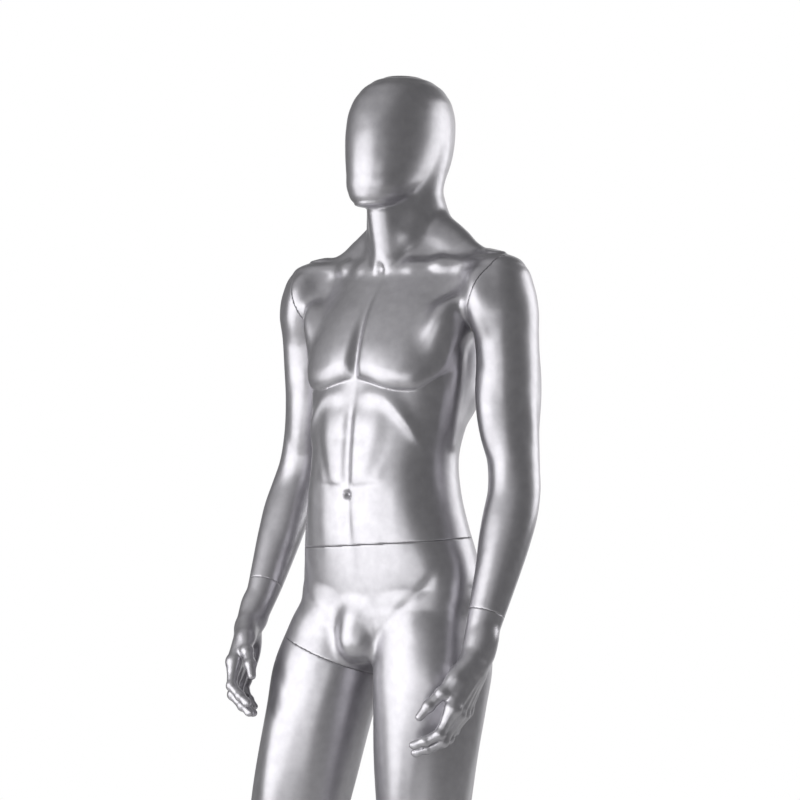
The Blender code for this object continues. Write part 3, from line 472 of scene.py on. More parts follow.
def add_foot(body, x, y, lift, toe_out, inner):
    """A bare foot about its ankle. inner is the side of the big toe."""
    turn = np.array(Matrix.Rotation(-toe_out * inner, 3, "Z"))
    i = body.near((x - 0.13, y - 0.25, -0.01), (x + 0.13, y + 0.10, 0.16))
    q = (body.p[i] - np.array((x, y, SOLE + lift))) @ turn * np.array((inner, -1, 1))
    foot = Field(q)
    foot.muscle((0.0, -0.034, 0.030), (0.029, 0.031, 0.036), k=0.010)
    foot.rod((0.0, -0.010, 0.085), (0.004, 0.045, 0.060), 0.031, 0.028, k=0.02)
    foot.rod((0.006, 0.040, 0.058), (0.012, 0.128, 0.022), 0.025, 0.017, k=0.02)
    foot.rod((-0.010, 0.030, 0.040), (-0.024, 0.110, 0.017), 0.026, 0.014, k=0.02)
    foot.rod((0.0, -0.030, 0.020), (-0.022, 0.100, 0.014), 0.026, 0.018, k=0.02)
    foot.muscle((0.022, 0.128, 0.017), (0.020, 0.030, 0.018), k=0.014)
    foot.muscle((-0.026, 0.112, 0.013), (0.018, 0.030, 0.014), k=0.014)
    toes = ((0.022, 0.196, 0.0125), (0.003, 0.190, 0.0085), (-0.0115, 0.181, 0.0080))
    toes += ((-0.0250, 0.168, 0.0076), (-0.0375, 0.152, 0.0074))
    for across, ahead, radius in toes:
        start = (across * 0.92 + 0.001, ahead - 0.062, radius + 0.010)
        knuckle = (across, ahead - 0.026, radius + 0.007)
        foot.rod(start, knuckle, radius * 1.15, radius, k=0.006)
        foot.rod(knuckle, (across, ahead, radius), radius, radius * 0.95, k=0.004)
    foot.muscle((0.034, -0.004, 0.086), (0.011, 0.015, 0.016), k=0.012)
    foot.muscle((-0.032, -0.012, 0.078), (0.011, 0.013, 0.015), k=0.012)
    foot.muscle((0.048, 0.050, -0.010), (0.026, 0.050, 0.024), k=0.012, carve=True)
    f = smooth_max(foot.f, -q[:, 2], 0.005)
    below = np.maximum(-q[:, 2], -1)
    body.f[i] = smooth_max(smooth_min(body.f[i], f, 0.022), below, 0.004)


def add_hips_muscles(body):
    # Bulge, with the fold above it
    body.muscle((0.012, -0.108, 0.944), (0.031, 0.034, 0.044), (0, -0.30, 1), k=0.030)
    body.muscle((0.013, -0.118, 0.926), (0.025, 0.028, 0.026), k=0.022)
    for side in (1, -1):
        # Buttock, hip and the dimple behind it
        centre = (0.016 + side * 0.072, 0.062, 0.950 + 0.006 * side)
        body.muscle(centre, (0.066, 0.050, 0.070), (0, -0.2, 1), k=0.030)
        body.muscle((0.016 + side * 0.128, -0.030, 1.010), (0.030, 0.046, 0.060), k=0.03)
    body.muscle((0.016, 0.118, 0.935), (0.006, 0.034, 0.070), k=0.016, carve=True)
    for side in (1, -1):
        dimple = (0.018 + side * 0.186, 0.020, 0.955)
        body.muscle(dimple, (0.012, 0.022, 0.045), k=0.024, carve=True)


def figure(p):
    """The whole body, without the hands."""
    body = Field(p)
    add_trunk(body)
    add_torso_muscles(body)
    i = body.near((-0.10, -0.12, 1.63), (0.10, 0.16, CROWN))
    body.blend(i, head(body.p[i]), 0.010 + 0.045 * ramp(body.p[i, 1], -0.005, 0.060))
    for tube, side in ((left_leg, 1), (right_leg, -1)):
        add_leg(body, tube, side)
    add_hips_muscles(body)
    add_foot(body, *LEFT_FOOT)
    add_foot(body, *RIGHT_FOOT)
    for side in (1, -1):
        add_arm(body, side)
    return body.f


# Hands ---


def hand_place(side):
    """The hand's frame on the left side, turned with the elbow for the right one."""
    reach = HAND_REACH.normalized()
    palm = PALM_FACES[side]
    palm = (palm - palm.dot(reach) * reach).normalized()
    turn = Matrix((palm.cross(reach), palm, reach)).transposed()
    wrist = HAND_WRIST
    if side < 0:
        bend = Vector(ELBOW_BEND) * (ELBOW - wrist.z)
        straight = wrist - Vector((0.232, 0.024, ELBOW))
        turn = straight.rotation_difference(straight + bend).to_matrix() @ turn
        wrist = wrist + bend
    return np.array(wrist), np.array(turn)


def add_finger(hand, knuckle, radius, phalanges, index):
    points = [np.array(knuckle)]
    bend = 0.0
    sides = (radius,) + tuple(row[1] for row in phalanges)
    for n, (length, _, turn) in enumerate(phalanges):
        bend += math.radians(turn)
        points.append(points[-1] + np.array((0, math.sin(bend), math.cos(bend))) * length)
    for n in range(3):
        start, end = points[n], points[n + 1]
        hand.rod(start, end, sides[n], sides[n + 1], k=0.003 if n else 0.008)
    for n in (1, 2):
        # A slightly wider joint, with a crease on the palm's side
        hand.muscle(points[n], (sides[n] * 1.10, sides[n] * 1.04, sides[n] * 1.0), k=0.004)
    back = np.array((0, -math.cos(bend), math.sin(bend)))
    nail = points[3] + back * sides[3] * 0.62 - (points[3] - points[2]) * 0.18
    hand.muscle(nail, (0.0052, 0.0046, 0.0075), points[3] - points[2], k=0.0015)
    # Knuckle and its tendon towards the wrist
    hand.muscle(points[0] + (0, -0.0040, -0.002), (0.0088, 0.0086, 0.0105), k=0.006)
    wrist_end = np.array((0.006 - 0.006 * index, -0.0135, 0.020))
    hand.rod(points[0] + (0, -0.0070, -0.006), wrist_end, 0.0034, 0.0022, k=0.008)


def hand_field(q):
    """The hand in its own frame."""
    hand = Field(q)
    hand.rod((0, 0, -0.04), (0.001, 0, 0.02), 0.0185, 0.0155, k=0.001)
    hand.rod((0.005, 0, -0.03), (0.010, 0, 0.02), 0.0165, 0.0145, k=0.012)
    hand.rod((-0.006, 0, -0.03), (-0.011, 0.001, 0.02), 0.0165, 0.0140, k=0.012)
    for n, finger in enumerate(FINGERS):
        knuckle = np.array(finger[0])
        start = np.array((0.013 - 0.009 * n, 0.001, 0.014))
        hand.rod(start, knuckle + (0, 0.001, -0.004), 0.0150, 0.0115, k=0.012)
        hand.rod(knuckle + (0, 0.003, -0.002), knuckle + (0, 0.004, 0.012), 0.0098, 0.0086, k=0.012)
    # Ball of the thumb, heel of the hand and the hollow between them
    hand.muscle((0.024, 0.013, 0.034), (0.015, 0.014, 0.028), (0.35, 0.20, 1), k=0.010)
    hand.muscle((-0.024, 0.011, 0.044), (0.012, 0.011, 0.032), (-0.1, 0, 1), k=0.010)
    hand.muscle((-0.002, 0.026, 0.064), (0.015, 0.012, 0.024), k=0.010, carve=True)
    hand.rod((0.018, 0.004, 0.008), (0.030, 0.012, 0.042), 0.0135, 0.0128, k=0.010)
    hand.rod((0.030, 0.012, 0.042), (0.038, 0.024, 0.072), 0.0128, 0.0100, k=0.008)
    hand.rod((0.038, 0.024, 0.072), (0.041, 0.037, 0.098), 0.0096, 0.0090, k=0.003)
    hand.rod((0.041, 0.037, 0.098), (0.042, 0.045, 0.119), 0.0092, 0.0068, k=0.003)
    hand.muscle((0.038, 0.024, 0.072), (0.0106, 0.0106, 0.0108), k=0.004)
    hand.muscle((0.041, 0.037, 0.098), (0.0100, 0.0098, 0.0098), k=0.004)
    # Web between thumb and forefinger
    hand.rod((0.022, 0.005, 0.044), (0.032, 0.012, 0.070), 0.011, 0.0065, k=0.012)
    for n, finger in enumerate(FINGERS):
        add_finger(hand, *finger, n)
    # Bump of the wrist bone on the little finger's side
    hand.muscle((-0.014, -0.009, -0.018), (0.008, 0.008, 0.012), k=0.012)
    return hand.f


def forearm_and_hand(side):
    origin, turn = hand_place(side)

    def field(p):
        local = p * np.array((side, 1, 1))
        hand = hand_field((local - origin) @ turn)
        body = Field(p)
        add_arm(body, side)
        return smooth_min(body.f, hand, 0.012)

    return field


# From field to mesh ---


def surface(field, low, high, cell):
    """A quad mesh of the field's zero surface: one vertex per cell that the surface crosses."""
    low = np.array(low, float)
    blocks = np.ceil((np.array(high) - low) / (cell * 4)).astype(int)
    centres = np.stack(np.meshgrid(*(np.arange(n) for n in blocks), indexing="ij"), -1)
    coarse = in_batches(field, low + (centres.reshape(-1, 3) * 4 + 2) * cell)
    size = blocks * 4 + 1
    grid = np.repeat(
        np.repeat(np.repeat(np.where(coarse < 0, -1.0, 1.0).reshape(blocks), 4, 0), 4, 1), 4, 2
    ).astype(np.float32)
    grid = np.pad(grid, ((0, 1), (0, 1), (0, 1)), mode="edge")
    close = np.abs(coarse).reshape(blocks) < cell * 4 * 1.5 + 0.004
    corners = np.stack(np.meshgrid(*(np.arange(5),) * 3, indexing="ij"), -1).reshape(-1, 3)
    wanted = (np.argwhere(close)[:, None] * 4 + corners).reshape(-1, 3)
    keys = np.unique(wanted @ np.array((size[1] * size[2], size[2], 1)))
    spots = np.stack(np.unravel_index(keys, size), -1)
    grid[tuple(spots.T)] = in_batches(field, low + spots * cell)
    return nets(grid, low, cell)


def in_batches(field, points, most=400_000):
    return np.concatenate([field(points[i : i + most]) for i in range(0, len(points), most)])


def nets(grid, low, cell):
    """Vertices and quads of the grid's zero surface, turned outwards."""
    inside = grid < 0
    mixed = np.zeros(np.array(grid.shape) - 1, bool)
    first = inside[:-1, :-1, :-1]
    for dx, dy, dz in np.ndindex(2, 2, 2):
        part = inside[dx : dx + mixed.shape[0], dy : dy + mixed.shape[1], dz : dz + mixed.shape[2]]
        mixed |= part != first
    cells = np.argwhere(mixed)
    number = np.full(mixed.shape, -1, np.int64)
    number[tuple(cells.T)] = np.arange(len(cells))
    total, count = np.zeros((len(cells), 3)), np.zeros(len(cells))
    quads = []
    for axis in range(3):
        step = np.eye(3, dtype=int)[axis]
        u, v = (np.eye(3, dtype=int)[(axis + n) % 3] for n in (1, 2))
        a = grid[tuple(slice(0, n - s) for n, s in zip(grid.shape, step))]
        b = grid[tuple(slice(s, n) for n, s in zip(grid.shape, step))]
        crossing = np.argwhere((a < 0) != (b < 0))
        va, vb = a[tuple(crossing.T)], b[tuple(crossing.T)]
        where = crossing + (va / (va - vb))[:, None] * step
        ring = []
        for shift in (-u - v, -v, 0 * u, -u):
            around = crossing + shift
            valid = ((around >= 0) & (around < mixed.shape)).all(1)
            index = np.where(valid, number[tuple(np.where(valid[:, None], around, 0).T)], -1)
            ring.append(index)
            ok = index >= 0
            np.add.at(total, index[ok], where[ok])
            np.add.at(count, index[ok], 1)
        ring = np.stack(ring, 1)
        ring[va >= 0] = ring[va >= 0][:, ::-1]
        quads.append(ring[(ring >= 0).all(1)])
    return low + cell * total / count[:, None], np.concatenate(quads)


def gradient(field, points, step=0.0006):
    parts = []
    for axis in np.eye(3):
        parts.append(field(points + axis * step) - field(points - axis * step))
    return np.stack(parts, 1) / (2 * step)


def polished(field, points, quads, rounds=3):
    """Vertices evened out along the surface, then put exactly on it."""
    edges = np.concatenate([quads[:, [n, (n + 1) % 4]] for n in range(4)])
    for _ in range(rounds):
        total, count = np.zeros_like(points), np.zeros(len(points))
        np.add.at(total, edges[:, 0], points[edges[:, 1]])
        np.add.at(count, edges[:, 0], 1)
        points = 0.4 * points + 0.6 * total / np.maximum(count, 1)[:, None]
        slope = gradient(field, points)
        size = np.maximum((slope**2).sum(1), 0.05)
        move = np.clip(field(points) / size, -0.004, 0.004)
        points = points - move[:, None] * slope
    return points


def linked(name, data):
    """A new object in the scene."""
    obj = bpy.data.objects.new(name, data)
    bpy.context.scene.collection.objects.link(obj)
    return obj


def object_from(bm, name):
    """A new object from a bmesh that is finished."""
    mesh = bpy.data.meshes.new(name)
    bm.to_mesh(mesh)
    bm.free()
    return linked(name, mesh)


@contextmanager
def edited(obj):
    """The object's mesh as a bmesh, written back at the end."""
    bm = bmesh.new()
    bm.from_mesh(obj.data)
    yield bm
    bm.to_mesh(obj.data)
    bm.free()


def mesh_object(name, points, quads):
    mesh = bpy.data.meshes.new(name)
    mesh.from_pydata(points.tolist(), [], quads.tolist())
    mesh.update()
    return linked(name, mesh)


def part_sheets(obj):
    """Takes out the few faces where two sheets of the surface touch, and closes each sheet."""
    with edited(obj) as bm:
        touching = {vert for edge in bm.edges if len(edge.link_faces) > 2 for vert in edge.verts}
        faces = {face for vert in touching for face in vert.link_faces}
        bmesh.ops.delete(bm, geom=list(faces), context="FACES")
        rim = [edge for edge in bm.edges if edge.is_boundary]
        filled = bmesh.ops.holes_fill(bm, edges=rim, sides=0)["faces"]
        bmesh.ops.triangulate(bm, faces=filled)
        bmesh.ops.recalc_face_normals(bm, faces=bm.faces)
    return obj


def sculpt(name, field, low, high, cell):
    points, quads = surface(field, low, high, cell)
    points = polished(field, points, quads)
    return part_sheets(mesh_object(name, points + SHIFT, quads))


# Cutting the shells at the seams ---


def seam(joint):
    """A point on the joint's axis, and the axis from the parent towards the child."""
    row = JOINTS[joint]
    point, axis = Vector(row["pos_m"]), Vector(row["axis"]).normalized()
    child = row["child"] if "hand" in row["child"] else row["child"] + "_shell"
    low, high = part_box(child)
    if ((low + high) / 2 - point).dot(axis) < 0:
        axis = -axis
    return point, axis


def cut_part(source, name, cuts, seed):
    """The piece of the mesh that holds the seed point, after the cuts that surround it.

    Each cut is a plane and a box in which it cuts. The side that its normal points to is kept.
    """
    bm = bmesh.new()
    bm.from_mesh(source.data)
    for point, normal, low, high in cuts:
        faces = [
            face
            for face in bm.faces
            if all(a <= c <= b for a, c, b in zip(low, face.calc_center_median(), high))
        ]
        geometry = list({v for f in faces for v in f.verts}) + list({e for f in faces for e in f.edges})
        result = bmesh.ops.bisect_plane(
            bm, geom=geometry + faces, plane_co=point, plane_no=normal, dist=1e-6
        )
        edges = [e for e in result["geom_cut"] if isinstance(e, bmesh.types.BMEdge)]
        bmesh.ops.split_edges(bm, edges=edges)
    bm.verts.ensure_lookup_table()
    start = min(bm.verts, key=lambda vert: (vert.co - Vector(seed)).length_squared)
    kept, todo = {start}, [start]
    while todo:
        for edge in todo.pop().link_edges:
            for vert in edge.verts:
                if vert not in kept:
                    kept.add(vert)
                    todo.append(vert)
    bmesh.ops.delete(bm, geom=[v for v in bm.verts if v not in kept], context="VERTS")
    rim = [vert for vert in bm.verts if vert.is_boundary]
    bmesh.ops.remove_doubles(bm, verts=rim, dist=1e-6)
    bmesh.ops.dissolve_degenerate(bm, dist=2e-5, edges=bm.edges)
    return object_from(bm, name)


def keep_to_side(obj, joint, child, low, high):
    """Presses back what bulges over a seam's plane inside a box, where the other piece turns."""
    point, axis = seam(joint)
    towards = np.array(axis if child else -axis)
    co = np.empty(len(obj.data.vertices) * 3)
    obj.data.vertices.foreach_get("co", co)
    co = co.reshape(-1, 3)
    depth = (co - np.array(point)) @ towards
    inside = ((co > np.array(point + Vector(low))) & (co < np.array(point + Vector(high)))).all(1)
    short = np.where(inside & (depth > -0.012), np.maximum(SEAM - depth, 0), 0)
    obj.data.vertices.foreach_set("co", (co + short[:, None] * towards).ravel())
    obj.data.update()


def round_rims(obj, drop=0.0003):
    """Draws each cut's edge inwards a little, so that the seam catches light."""
    with edited(obj) as bm:
        for vert in bm.verts:
            if vert.is_boundary:
                vert.co -= vert.normal * drop


def apply_modifiers(obj):
    bpy.context.view_layer.update()
    evaluated = obj.evaluated_get(bpy.context.evaluated_depsgraph_get())
    mesh = bpy.data.meshes.new_from_object(evaluated)
    obj.modifiers.clear()
    obj.data = mesh


def thicken(obj, wall=WALL):
    modifier = obj.modifiers.new("wall", "SOLIDIFY")
    modifier.thickness = wall
    modifier.offset = -1
    apply_modifiers(obj)


def cut_at(joint, child, low, high):
    """The cut of one side of a seam, a hair away from the joint's plane."""
    point, axis = seam(joint)
    towards = axis if child else -axis
    return point + towards * SEAM, towards, low, high


def cap_seam(obj, joint, pocket, depth):
    """Closes a solid piece at its seam, with a round pocket for the other piece's stud."""
    point, axis = seam(joint)
    turn = axis.to_track_quat("Z", "Y").to_matrix().to_4x4()
    place = Matrix.Translation(point + axis * SEAM) @ turn
    with edited(obj) as bm:
        rim = [edge for edge in bm.edges if edge.is_boundary]
        ring = bmesh.ops.create_circle(bm, segments=48, radius=pocket, matrix=place)["verts"]
        circle = list({edge for vert in ring for edge in vert.link_edges})
        bmesh.ops.triangle_fill(bm, edges=rim + circle, use_beauty=True)
        floor = bmesh.ops.extrude_edge_only(bm, edges=circle)["geom"]
        lower = [item for item in floor if isinstance(item, bmesh.types.BMVert)]
        bmesh.ops.translate(bm, verts=lower, vec=axis * depth)
        loop = [item for item in floor if isinstance(item, bmesh.types.BMEdge)]
        bmesh.ops.contextual_create(bm, geom=loop)
        bmesh.ops.recalc_face_normals(bm, faces=bm.faces)
    return obj


# The shells ---

# Where a shell's surface runs close along a seam: the joint, its two bodies and a box about it
GRAZED = (
    ("waist_turn", "hips", "torso", (-0.19, -0.19, -0.03), (0.19, 0.19, 0.03)),
    ("leg_turn", "hips", "right_leg", (-0.15, 0.04, -0.06), (0.06, 0.16, 0.03)),
    *(
        (f"{place}_shoulder_turn", "torso", f"{place}_arm", (-0.10, -0.14, -0.074), (0.10, 0.14, 0.12))
        for place in PLACES
    ),
)


def around(joint, low, high):
    """The box in which a seam cuts, from its centre."""
    point = seam(joint)[0]
    return point + Vector(low), point + Vector(high)


def in_world(x, y, z):
    return Vector((x, y, z)) + Vector(SHIFT)


def make_shells():
    """The five silver shells, each on its body."""
    body = sculpt("figure", figure, (-0.276, -0.215, -0.005), (0.282, 0.160, 1.892), CELL)
    waist = around("waist_turn", (-0.19, -0.19, -0.06), (0.19, 0.19, 0.06))
    thigh = around("leg_turn", (-0.15, -0.15, -0.10), (0.096, 0.15, 0.10))
    shoulders, wrists = (
        [around(f"{place}_{joint}", [-x for x in size[:2]] + [low], size) for place in PLACES]
        for joint, low, size in (
            ("shoulder_turn", -0.075, (0.10, 0.14, 0.10)),
            ("wrist_turn", -0.08, (0.07, 0.07, 0.08)),
        )
    )
    cuts = [cut_at("waist_turn", True, *waist)]
    cuts += [cut_at(f"{place}_shoulder_turn", False, *box) for place, box in zip(PLACES, shoulders)]
    torso = cut_part(body, "torso_body", cuts, in_world(0, -0.12, 1.40))
    cuts = (cut_at("waist_turn", False, *waist), cut_at("leg_turn", False, *thigh))
    hips = cut_part(body, "hips_body", cuts, in_world(0.1, -0.10, 0.60))
    cuts = (cut_at("leg_turn", True, *thigh),)
    leg = cut_part(body, "right_leg_body", cuts, in_world(-0.13, -0.2, 0.5))
    shells = [(torso, "torso_shell", "torso"), (hips, "hips_shell", "hips")]
    shells.append((leg, "right_leg_shell", "right_leg"))
    for side, place, shoulder, wrist in zip((1, -1), PLACES, shoulders, wrists):
        cuts = (
            cut_at(f"{place}_shoulder_turn", True, *shoulder),
            cut_at(f"{place}_wrist_turn", False, *wrist),
        )
        arm = cut_part(body, f"{place}_arm_body", cuts, in_world(side * 0.26, 0.04, 1.33))
        shells.append((arm, f"{place}_arm_shell", f"{place}_arm"))
    for obj, node, on in shells:
        round_rims(obj)
        thicken(obj)
        for joint, parent, child, *box in GRAZED:
            if on in (parent, child):
                keep_to_side(obj, joint, on == child, *box)
        if obj is hips:
            open_calf(obj)
        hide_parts(node)
        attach(obj, on)
    bpy.data.objects.remove(body)
    return [row[0] for row in shells]


def make_hand(side, place):
    point = np.array(seam(f"{place}_wrist_turn")[0]) - SHIFT
    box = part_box(f"{place}_hand")
    low = np.array(box[0]) - SHIFT - 0.008
    high = np.array(box[1]) - SHIFT + 0.008
    high[2] = point[2] + 0.045
    low[:2], high[:2] = low[:2] - 0.006, high[:2] + 0.012
    source = sculpt(f"{place}_fine", forearm_and_hand(side), low, high, HAND_CELL)
    wrist = around(f"{place}_wrist_turn", (-0.06, -0.06, -0.05), (0.06, 0.06, 0.05))
    seed = Vector(point + SHIFT) + seam(f"{place}_wrist_turn")[1] * 0.06
    cuts = (cut_at(f"{place}_wrist_turn", True, *wrist),)
    hand = cut_part(source, f"{place}_hand_body", cuts, seed)
    round_rims(hand)
    cap_seam(hand, f"{place}_wrist_turn", LOCK_RADIUS["wrist"] * STUD_HEAD + STUD_GAP, POCKET_DEPTH)
    bpy.data.objects.remove(source)
    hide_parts(f"{place}_hand")
    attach(hand, f"{place}_hand")
    return hand


# Fittings ---

# What each CAD node that stays in view is made of
FINISHES = {
    "flange": ("flange_inner", "flange_outer", "calf_bulkhead"),
    "fitting": ("keyhole_plate", "plate_screw", "lock_stud", "calf_socket", "grub_screw"),
    "plate": ("base_plate", "collar_screw"),
    "chrome": ("support_rod", "rod_collar"),
    "liner": ("base_liner",),
}
# The support rod's two ends
ROD = ((0.170, 0.111, 0.0085), (0.142, 0.067, 0.350))
LOCK_RADIUS = {"waist": 0.045, "leg": 0.036, "shoulder": 0.028, "wrist": 0.016}
# Of a lock's radius: its stud's head, and the middle of a flange that keeps its CAD shape
STUD_HEAD = 0.72
HUB = 1.35
STUD_GAP = 0.0004
POCKET_DEPTH = 0.0044
FLANGE_GAP = 0.0008
SOCKET_HOLE = 0.0098
SCREW_HOLE = 0.0038


def outline(centre, directions, guess):
    """How far the figure's surface is from each centre point along each direction."""
    steps = np.linspace(0.80, 1.08, 141)
    points = centre[:, None] + directions[:, None] * (guess[:, None] * steps)[:, :, None]
    inside = figure(points.reshape(-1, 3) - SHIFT).reshape(len(centre), -1) < 0
    last = np.where(inside.all(1), len(steps) - 1, np.argmin(inside, axis=1))
    return guess * steps[last]


def fit_inside(node, point, axis, hub, body):
    """A copy of a disc whose rim follows the inside of the sculpted shell. Its hub stays."""
    source = frame["nodes"][node]
    obj = linked(node + "_fitted", source.data.copy())
    obj.data.transform(source.matrix_world)
    co = np.array([vert.co for vert in obj.data.vertices])
    point, axis = np.array(point), np.array(axis)
    height = (co - point) @ axis
    across = co - point - height[:, None] * axis
    radius = np.linalg.norm(across, axis=1)
    rim = np.nonzero(radius > hub)[0]
    centres = point + height[rim, None] * axis
    directions = across[rim] / radius[rim, None]
    reach = outline(centres, directions, radius[rim] + 0.005) - WALL - FLANGE_GAP
    for k, index in enumerate(rim):
        obj.data.vertices[index].co = centres[k] + directions[k] * reach[k]
    bevel = obj.modifiers.new("edges", "BEVEL")
    bevel.width = 0.0004
    bevel.limit_method = "ANGLE"
    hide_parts(node)
    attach(obj, body)
    return obj


def make_flanges():
    joints = [("waist_turn", "waist", "hips", "torso"), ("leg_turn", "thigh", "hips", "right_leg")]
    for place in PLACES:
        joints.append((f"{place}_shoulder_turn", f"{place}_shoulder", "torso", f"{place}_arm"))
        joints.append((f"{place}_wrist_turn", f"{place}_wrist", f"{place}_arm", None))
    made = []
    for joint, name, parent, child in joints:
        kind = joint.split("_")[-2]
        hub = LOCK_RADIUS[kind] * HUB
        made.append(fit_inside(f"{name}_flange_inner", *seam(joint), hub, parent))
        if child:
            made.append(fit_inside(f"{name}_flange_outer", *seam(joint), hub, child))
    low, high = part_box("calf_bulkhead")
    middle = in_world(0.101, -0.006, (low.z + high.z) / 2)
    made.append(fit_inside("calf_bulkhead", middle, Vector((0, 0, 1)), 0.036, "hips"))
    return made


def dress_fittings(looks):
    for name, obj in frame["nodes"].items():
        for look, words in FINISHES.items():
            if any(word in name for word in words):
                dress(obj, looks[look])
                obj.data.set_sharp_from_angle(angle=math.radians(32))


def cut_round(obj, start, end, radius):
    """A round hole between two points."""
    along = Vector(end) - Vector(start)
    bm = bmesh.new()
    place = Matrix.Translation((Vector(start) + Vector(end)) / 2)
    place = place @ along.to_track_quat("Z", "Y").to_matrix().to_4x4()
    bmesh.ops.create_cone(
        bm, cap_ends=True, segments=48, radius1=radius, radius2=radius, depth=along.length, matrix=place
    )
    cutter = object_from(bm, "hole")
    modifier = obj.modifiers.new("hole", "BOOLEAN")
    modifier.operation = "DIFFERENCE"
    modifier.object = cutter
    apply_modifiers(obj)
    bpy.data.objects.remove(cutter)


def open_calf(hips):
    """The way in for the rod's socket, and the small one for its grub screw."""
    foot, tip = Vector(ROD[0]), Vector(ROD[1])
    along = (tip - foot).normalized()
    cut_round(hips, foot + along * 0.06, tip - along * 0.03, SOCKET_HOLE)
    low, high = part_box("calf_grub_screw")
    middle = (low + high) / 2
    on_axis = foot + along * (middle - foot).dot(along)
    cut_round(hips, on_axis, on_axis + (middle - on_axis).normalized() * 0.07, SCREW_HOLE)


# Materials ---


def set_inputs(node, values):
    for name, value in values.items():
        node.inputs[name].default_value = value
    return node


def new_node(tree, kind, values):
    """A shader node with some of its inputs set."""
    return set_inputs(tree.nodes.new(kind), values)


def grain(tree, scale, detail=3.0):
    """A fine noise over the piece's own space."""
    place = tree.nodes.new("ShaderNodeTexCoord")
    noise = new_node(tree, "ShaderNodeTexNoise", {"Scale": scale, "Detail": detail})
    tree.links.new(place.outputs["Object"], noise.inputs["Vector"])
    return noise.outputs["Fac"]


def finish_material(
    name, dark, light, roughness, metallic, scale, coat=0.0, bump=0.0, fine=900.0, spread=0.04
):
    """A finish with a little variation in its colour and gloss, and a fine surface."""
    material = bpy.data.materials.new(name)
    material.use_nodes = True
    tree = material.node_tree
    links = tree.links
    shader = tree.nodes["Principled BSDF"]
    set_inputs(shader, {"Metallic": metallic, "Coat Weight": coat, "Coat Roughness": 0.12})
    broad = grain(tree, scale)
    colours = tree.nodes.new("ShaderNodeValToRGB")
    for stop, position, colour in zip(colours.color_ramp.elements, (0.3, 0.7), (dark, light)):
        stop.position = position
        stop.color = (*colour, 1)
    links.new(broad, colours.inputs["Fac"])
    links.new(colours.outputs["Color"], shader.inputs["Base Color"])
    limits = {"To Min": roughness - spread, "To Max": roughness + spread}
    gloss = new_node(tree, "ShaderNodeMapRange", limits)
    links.new(grain(tree, scale * 2.7), gloss.inputs["Value"])
    links.new(gloss.outputs["Result"], shader.inputs["Roughness"])
    if bump:
        height = new_node(tree, "ShaderNodeBump", {"Strength": bump, "Distance": 0.0002})
        links.new(grain(tree, fine, 2.0), height.inputs["Height"])
        links.new(height.outputs["Normal"], shader.inputs["Normal"])
    return material


def make_materials():
    return {
        "shell": finish_material(
            "silver_paint", (0.50, 0.49, 0.52), (0.57, 0.56, 0.59), 0.36, 0.90, 60,
            coat=0.15, bump=0.04, fine=2600,
        ),
        "flange": finish_material(
            "flange_board", (0.36, 0.34, 0.34), (0.45, 0.43, 0.43), 0.62, 0.0, 120, bump=0.2
        ),
        "fitting": finish_material(
            "zinc_steel", (0.52, 0.53, 0.54), (0.62, 0.63, 0.64), 0.34, 1.0, 90, bump=0.08
        ),
        "plate": finish_material(
            "brushed_steel", (0.50, 0.50, 0.51), (0.58, 0.58, 0.59), 0.30, 1.0, 40, bump=0.10
        ),
        "chrome": finish_material(
            "chrome_plating", (0.76, 0.76, 0.78), (0.82, 0.82, 0.84), 0.09, 1.0, 30, spread=0.02
        ),
        "liner": finish_material(
            "black_rubber", (0.022, 0.022, 0.023), (0.035, 0.035, 0.036), 0.80, 0.0, 200, bump=0.3
        ),
    }


def dress(obj, material):
    obj.data.materials.clear()
    obj.data.materials.append(material)
    obj.data.shade_smooth()


# Studio ---


def area_light(name, at, target, size, energy):
    data = bpy.data.lights.new(name, "AREA")
    data.shape = "RECTANGLE"
    data.size, data.size_y = size
    data.energy = energy
    obj = linked(name, data)
    obj.location = at
    obj.rotation_euler = (Vector(target) - Vector(at)).to_track_quat("-Z", "Y").to_euler()
    return obj


def round_the_figure(azimuth, distance, height):
    """A place in the studio, by its bearing from the front towards the figure's left."""
    angle = math.radians(azimuth)
    return (distance * math.sin(angle), -distance * math.cos(angle), height)


def make_studio():
    floor_mesh = bmesh.new()
    bmesh.ops.create_circle(floor_mesh, cap_ends=True, segments=128, radius=2.4)
    floor = object_from(floor_mesh, "floor")
    floor.location.z = -0.0002
    dress(
        floor,
        finish_material("studio_floor", (0.78, 0.78, 0.77), (0.82, 0.82, 0.81), 0.6, 0.0, 3),
    )

    bpy.context.scene.view_settings.view_transform = "Standard"
    make_world()
    middle = (0.02, 0.04, 1.3)
    key = area_light("key", round_the_figure(-27, 2.5, 1.30), middle, (3.8, 2.6), 45)
    key.data.shape = "ELLIPSE"
    low = area_light("low", round_the_figure(24, 2.5, 0.90), middle, (1.7, 1.5), 8)
    low.data.shape = "ELLIPSE"
    area_light("side", round_the_figure(150, 2.2, 1.80), middle, (1.3, 1.7), 14)


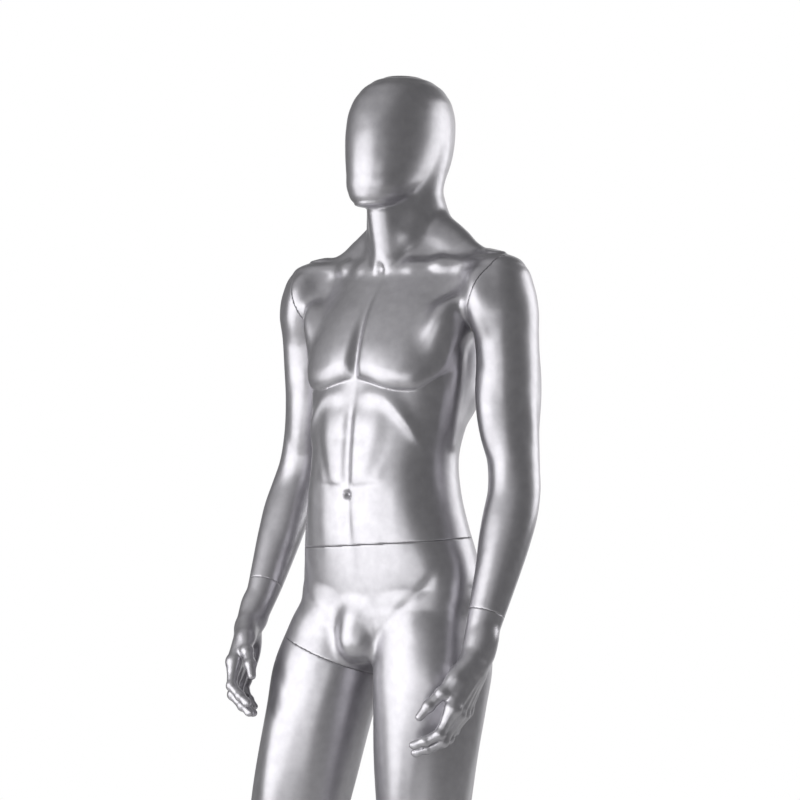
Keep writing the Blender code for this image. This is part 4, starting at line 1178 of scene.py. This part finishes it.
def make_world():
    """White to look at, and for reflections a dim room with a few pale walls."""
    world = bpy.data.worlds.new("studio")
    bpy.context.scene.world = world
    world.use_nodes = True
    nodes, links = world.node_tree.nodes, world.node_tree.links
    place = nodes.new("ShaderNodeTexCoord")
    total = None
    # Bearing, height, the cosines at which a wall starts and is full, and its brightness
    walls = ((202, 0.0, 0.78, 0.93, 0.60), (-30, 1.0, 0.45, 0.95, 0.32), (0, 0, -2, -1.5, 0.17))
    for bearing, height, start, full, brightness in walls:
        dot = nodes.new("ShaderNodeVectorMath")
        dot.operation = "DOT_PRODUCT"
        dot.inputs[1].default_value = Vector(round_the_figure(bearing, 1, height)).normalized()
        links.new(place.outputs["Generated"], dot.inputs[0])
        limits = {"From Min": start, "From Max": full, "To Max": brightness}
        wall = new_node(world.node_tree, "ShaderNodeMapRange", limits)
        wall.interpolation_type = "SMOOTHSTEP"
        links.new(dot.outputs["Value"], wall.inputs["Value"])
        if total is None:
            total = wall.outputs["Result"]
        else:
            add = nodes.new("ShaderNodeMath")
            links.new(total, add.inputs[0])
            links.new(wall.outputs["Result"], add.inputs[1])
            total = add.outputs["Value"]
    room = nodes["Background"]
    room.inputs["Color"].default_value = (1, 1, 1, 1)
    links.new(total, room.inputs["Strength"])
    white = new_node(world.node_tree, "ShaderNodeBackground", {"Color": (1, 1, 1, 1)})
    seen = nodes.new("ShaderNodeLightPath")
    mix = nodes.new("ShaderNodeMixShader")
    links.new(seen.outputs["Is Camera Ray"], mix.inputs["Fac"])
    links.new(room.outputs["Background"], mix.inputs[1])
    links.new(white.outputs["Background"], mix.inputs[2])
    links.new(mix.outputs["Shader"], nodes["World Output"].inputs["Surface"])


def make_camera():
    camera = bpy.data.cameras.new("camera")
    camera.lens = 92.1
    camera.sensor_width = 36
    camera.shift_x = 0.0075
    obj = linked("camera", camera)
    target = Vector((0.02, 0.045, 1.33))
    obj.location = target + Vector(round_the_figure(37.5, 3.5, 0))
    obj.rotation_euler = (target - obj.location).to_track_quat("-Z", "Y").to_euler()
    bpy.context.scene.camera = obj


looks = make_materials()
dress_fittings(looks)
for shell in make_shells():
    dress(shell, looks["shell"])
for disc in make_flanges():
    dress(disc, looks["flange"])
for side, place in zip((1, -1), PLACES):
    dress(make_hand(side, place), looks["shell"])
make_studio()
make_camera()
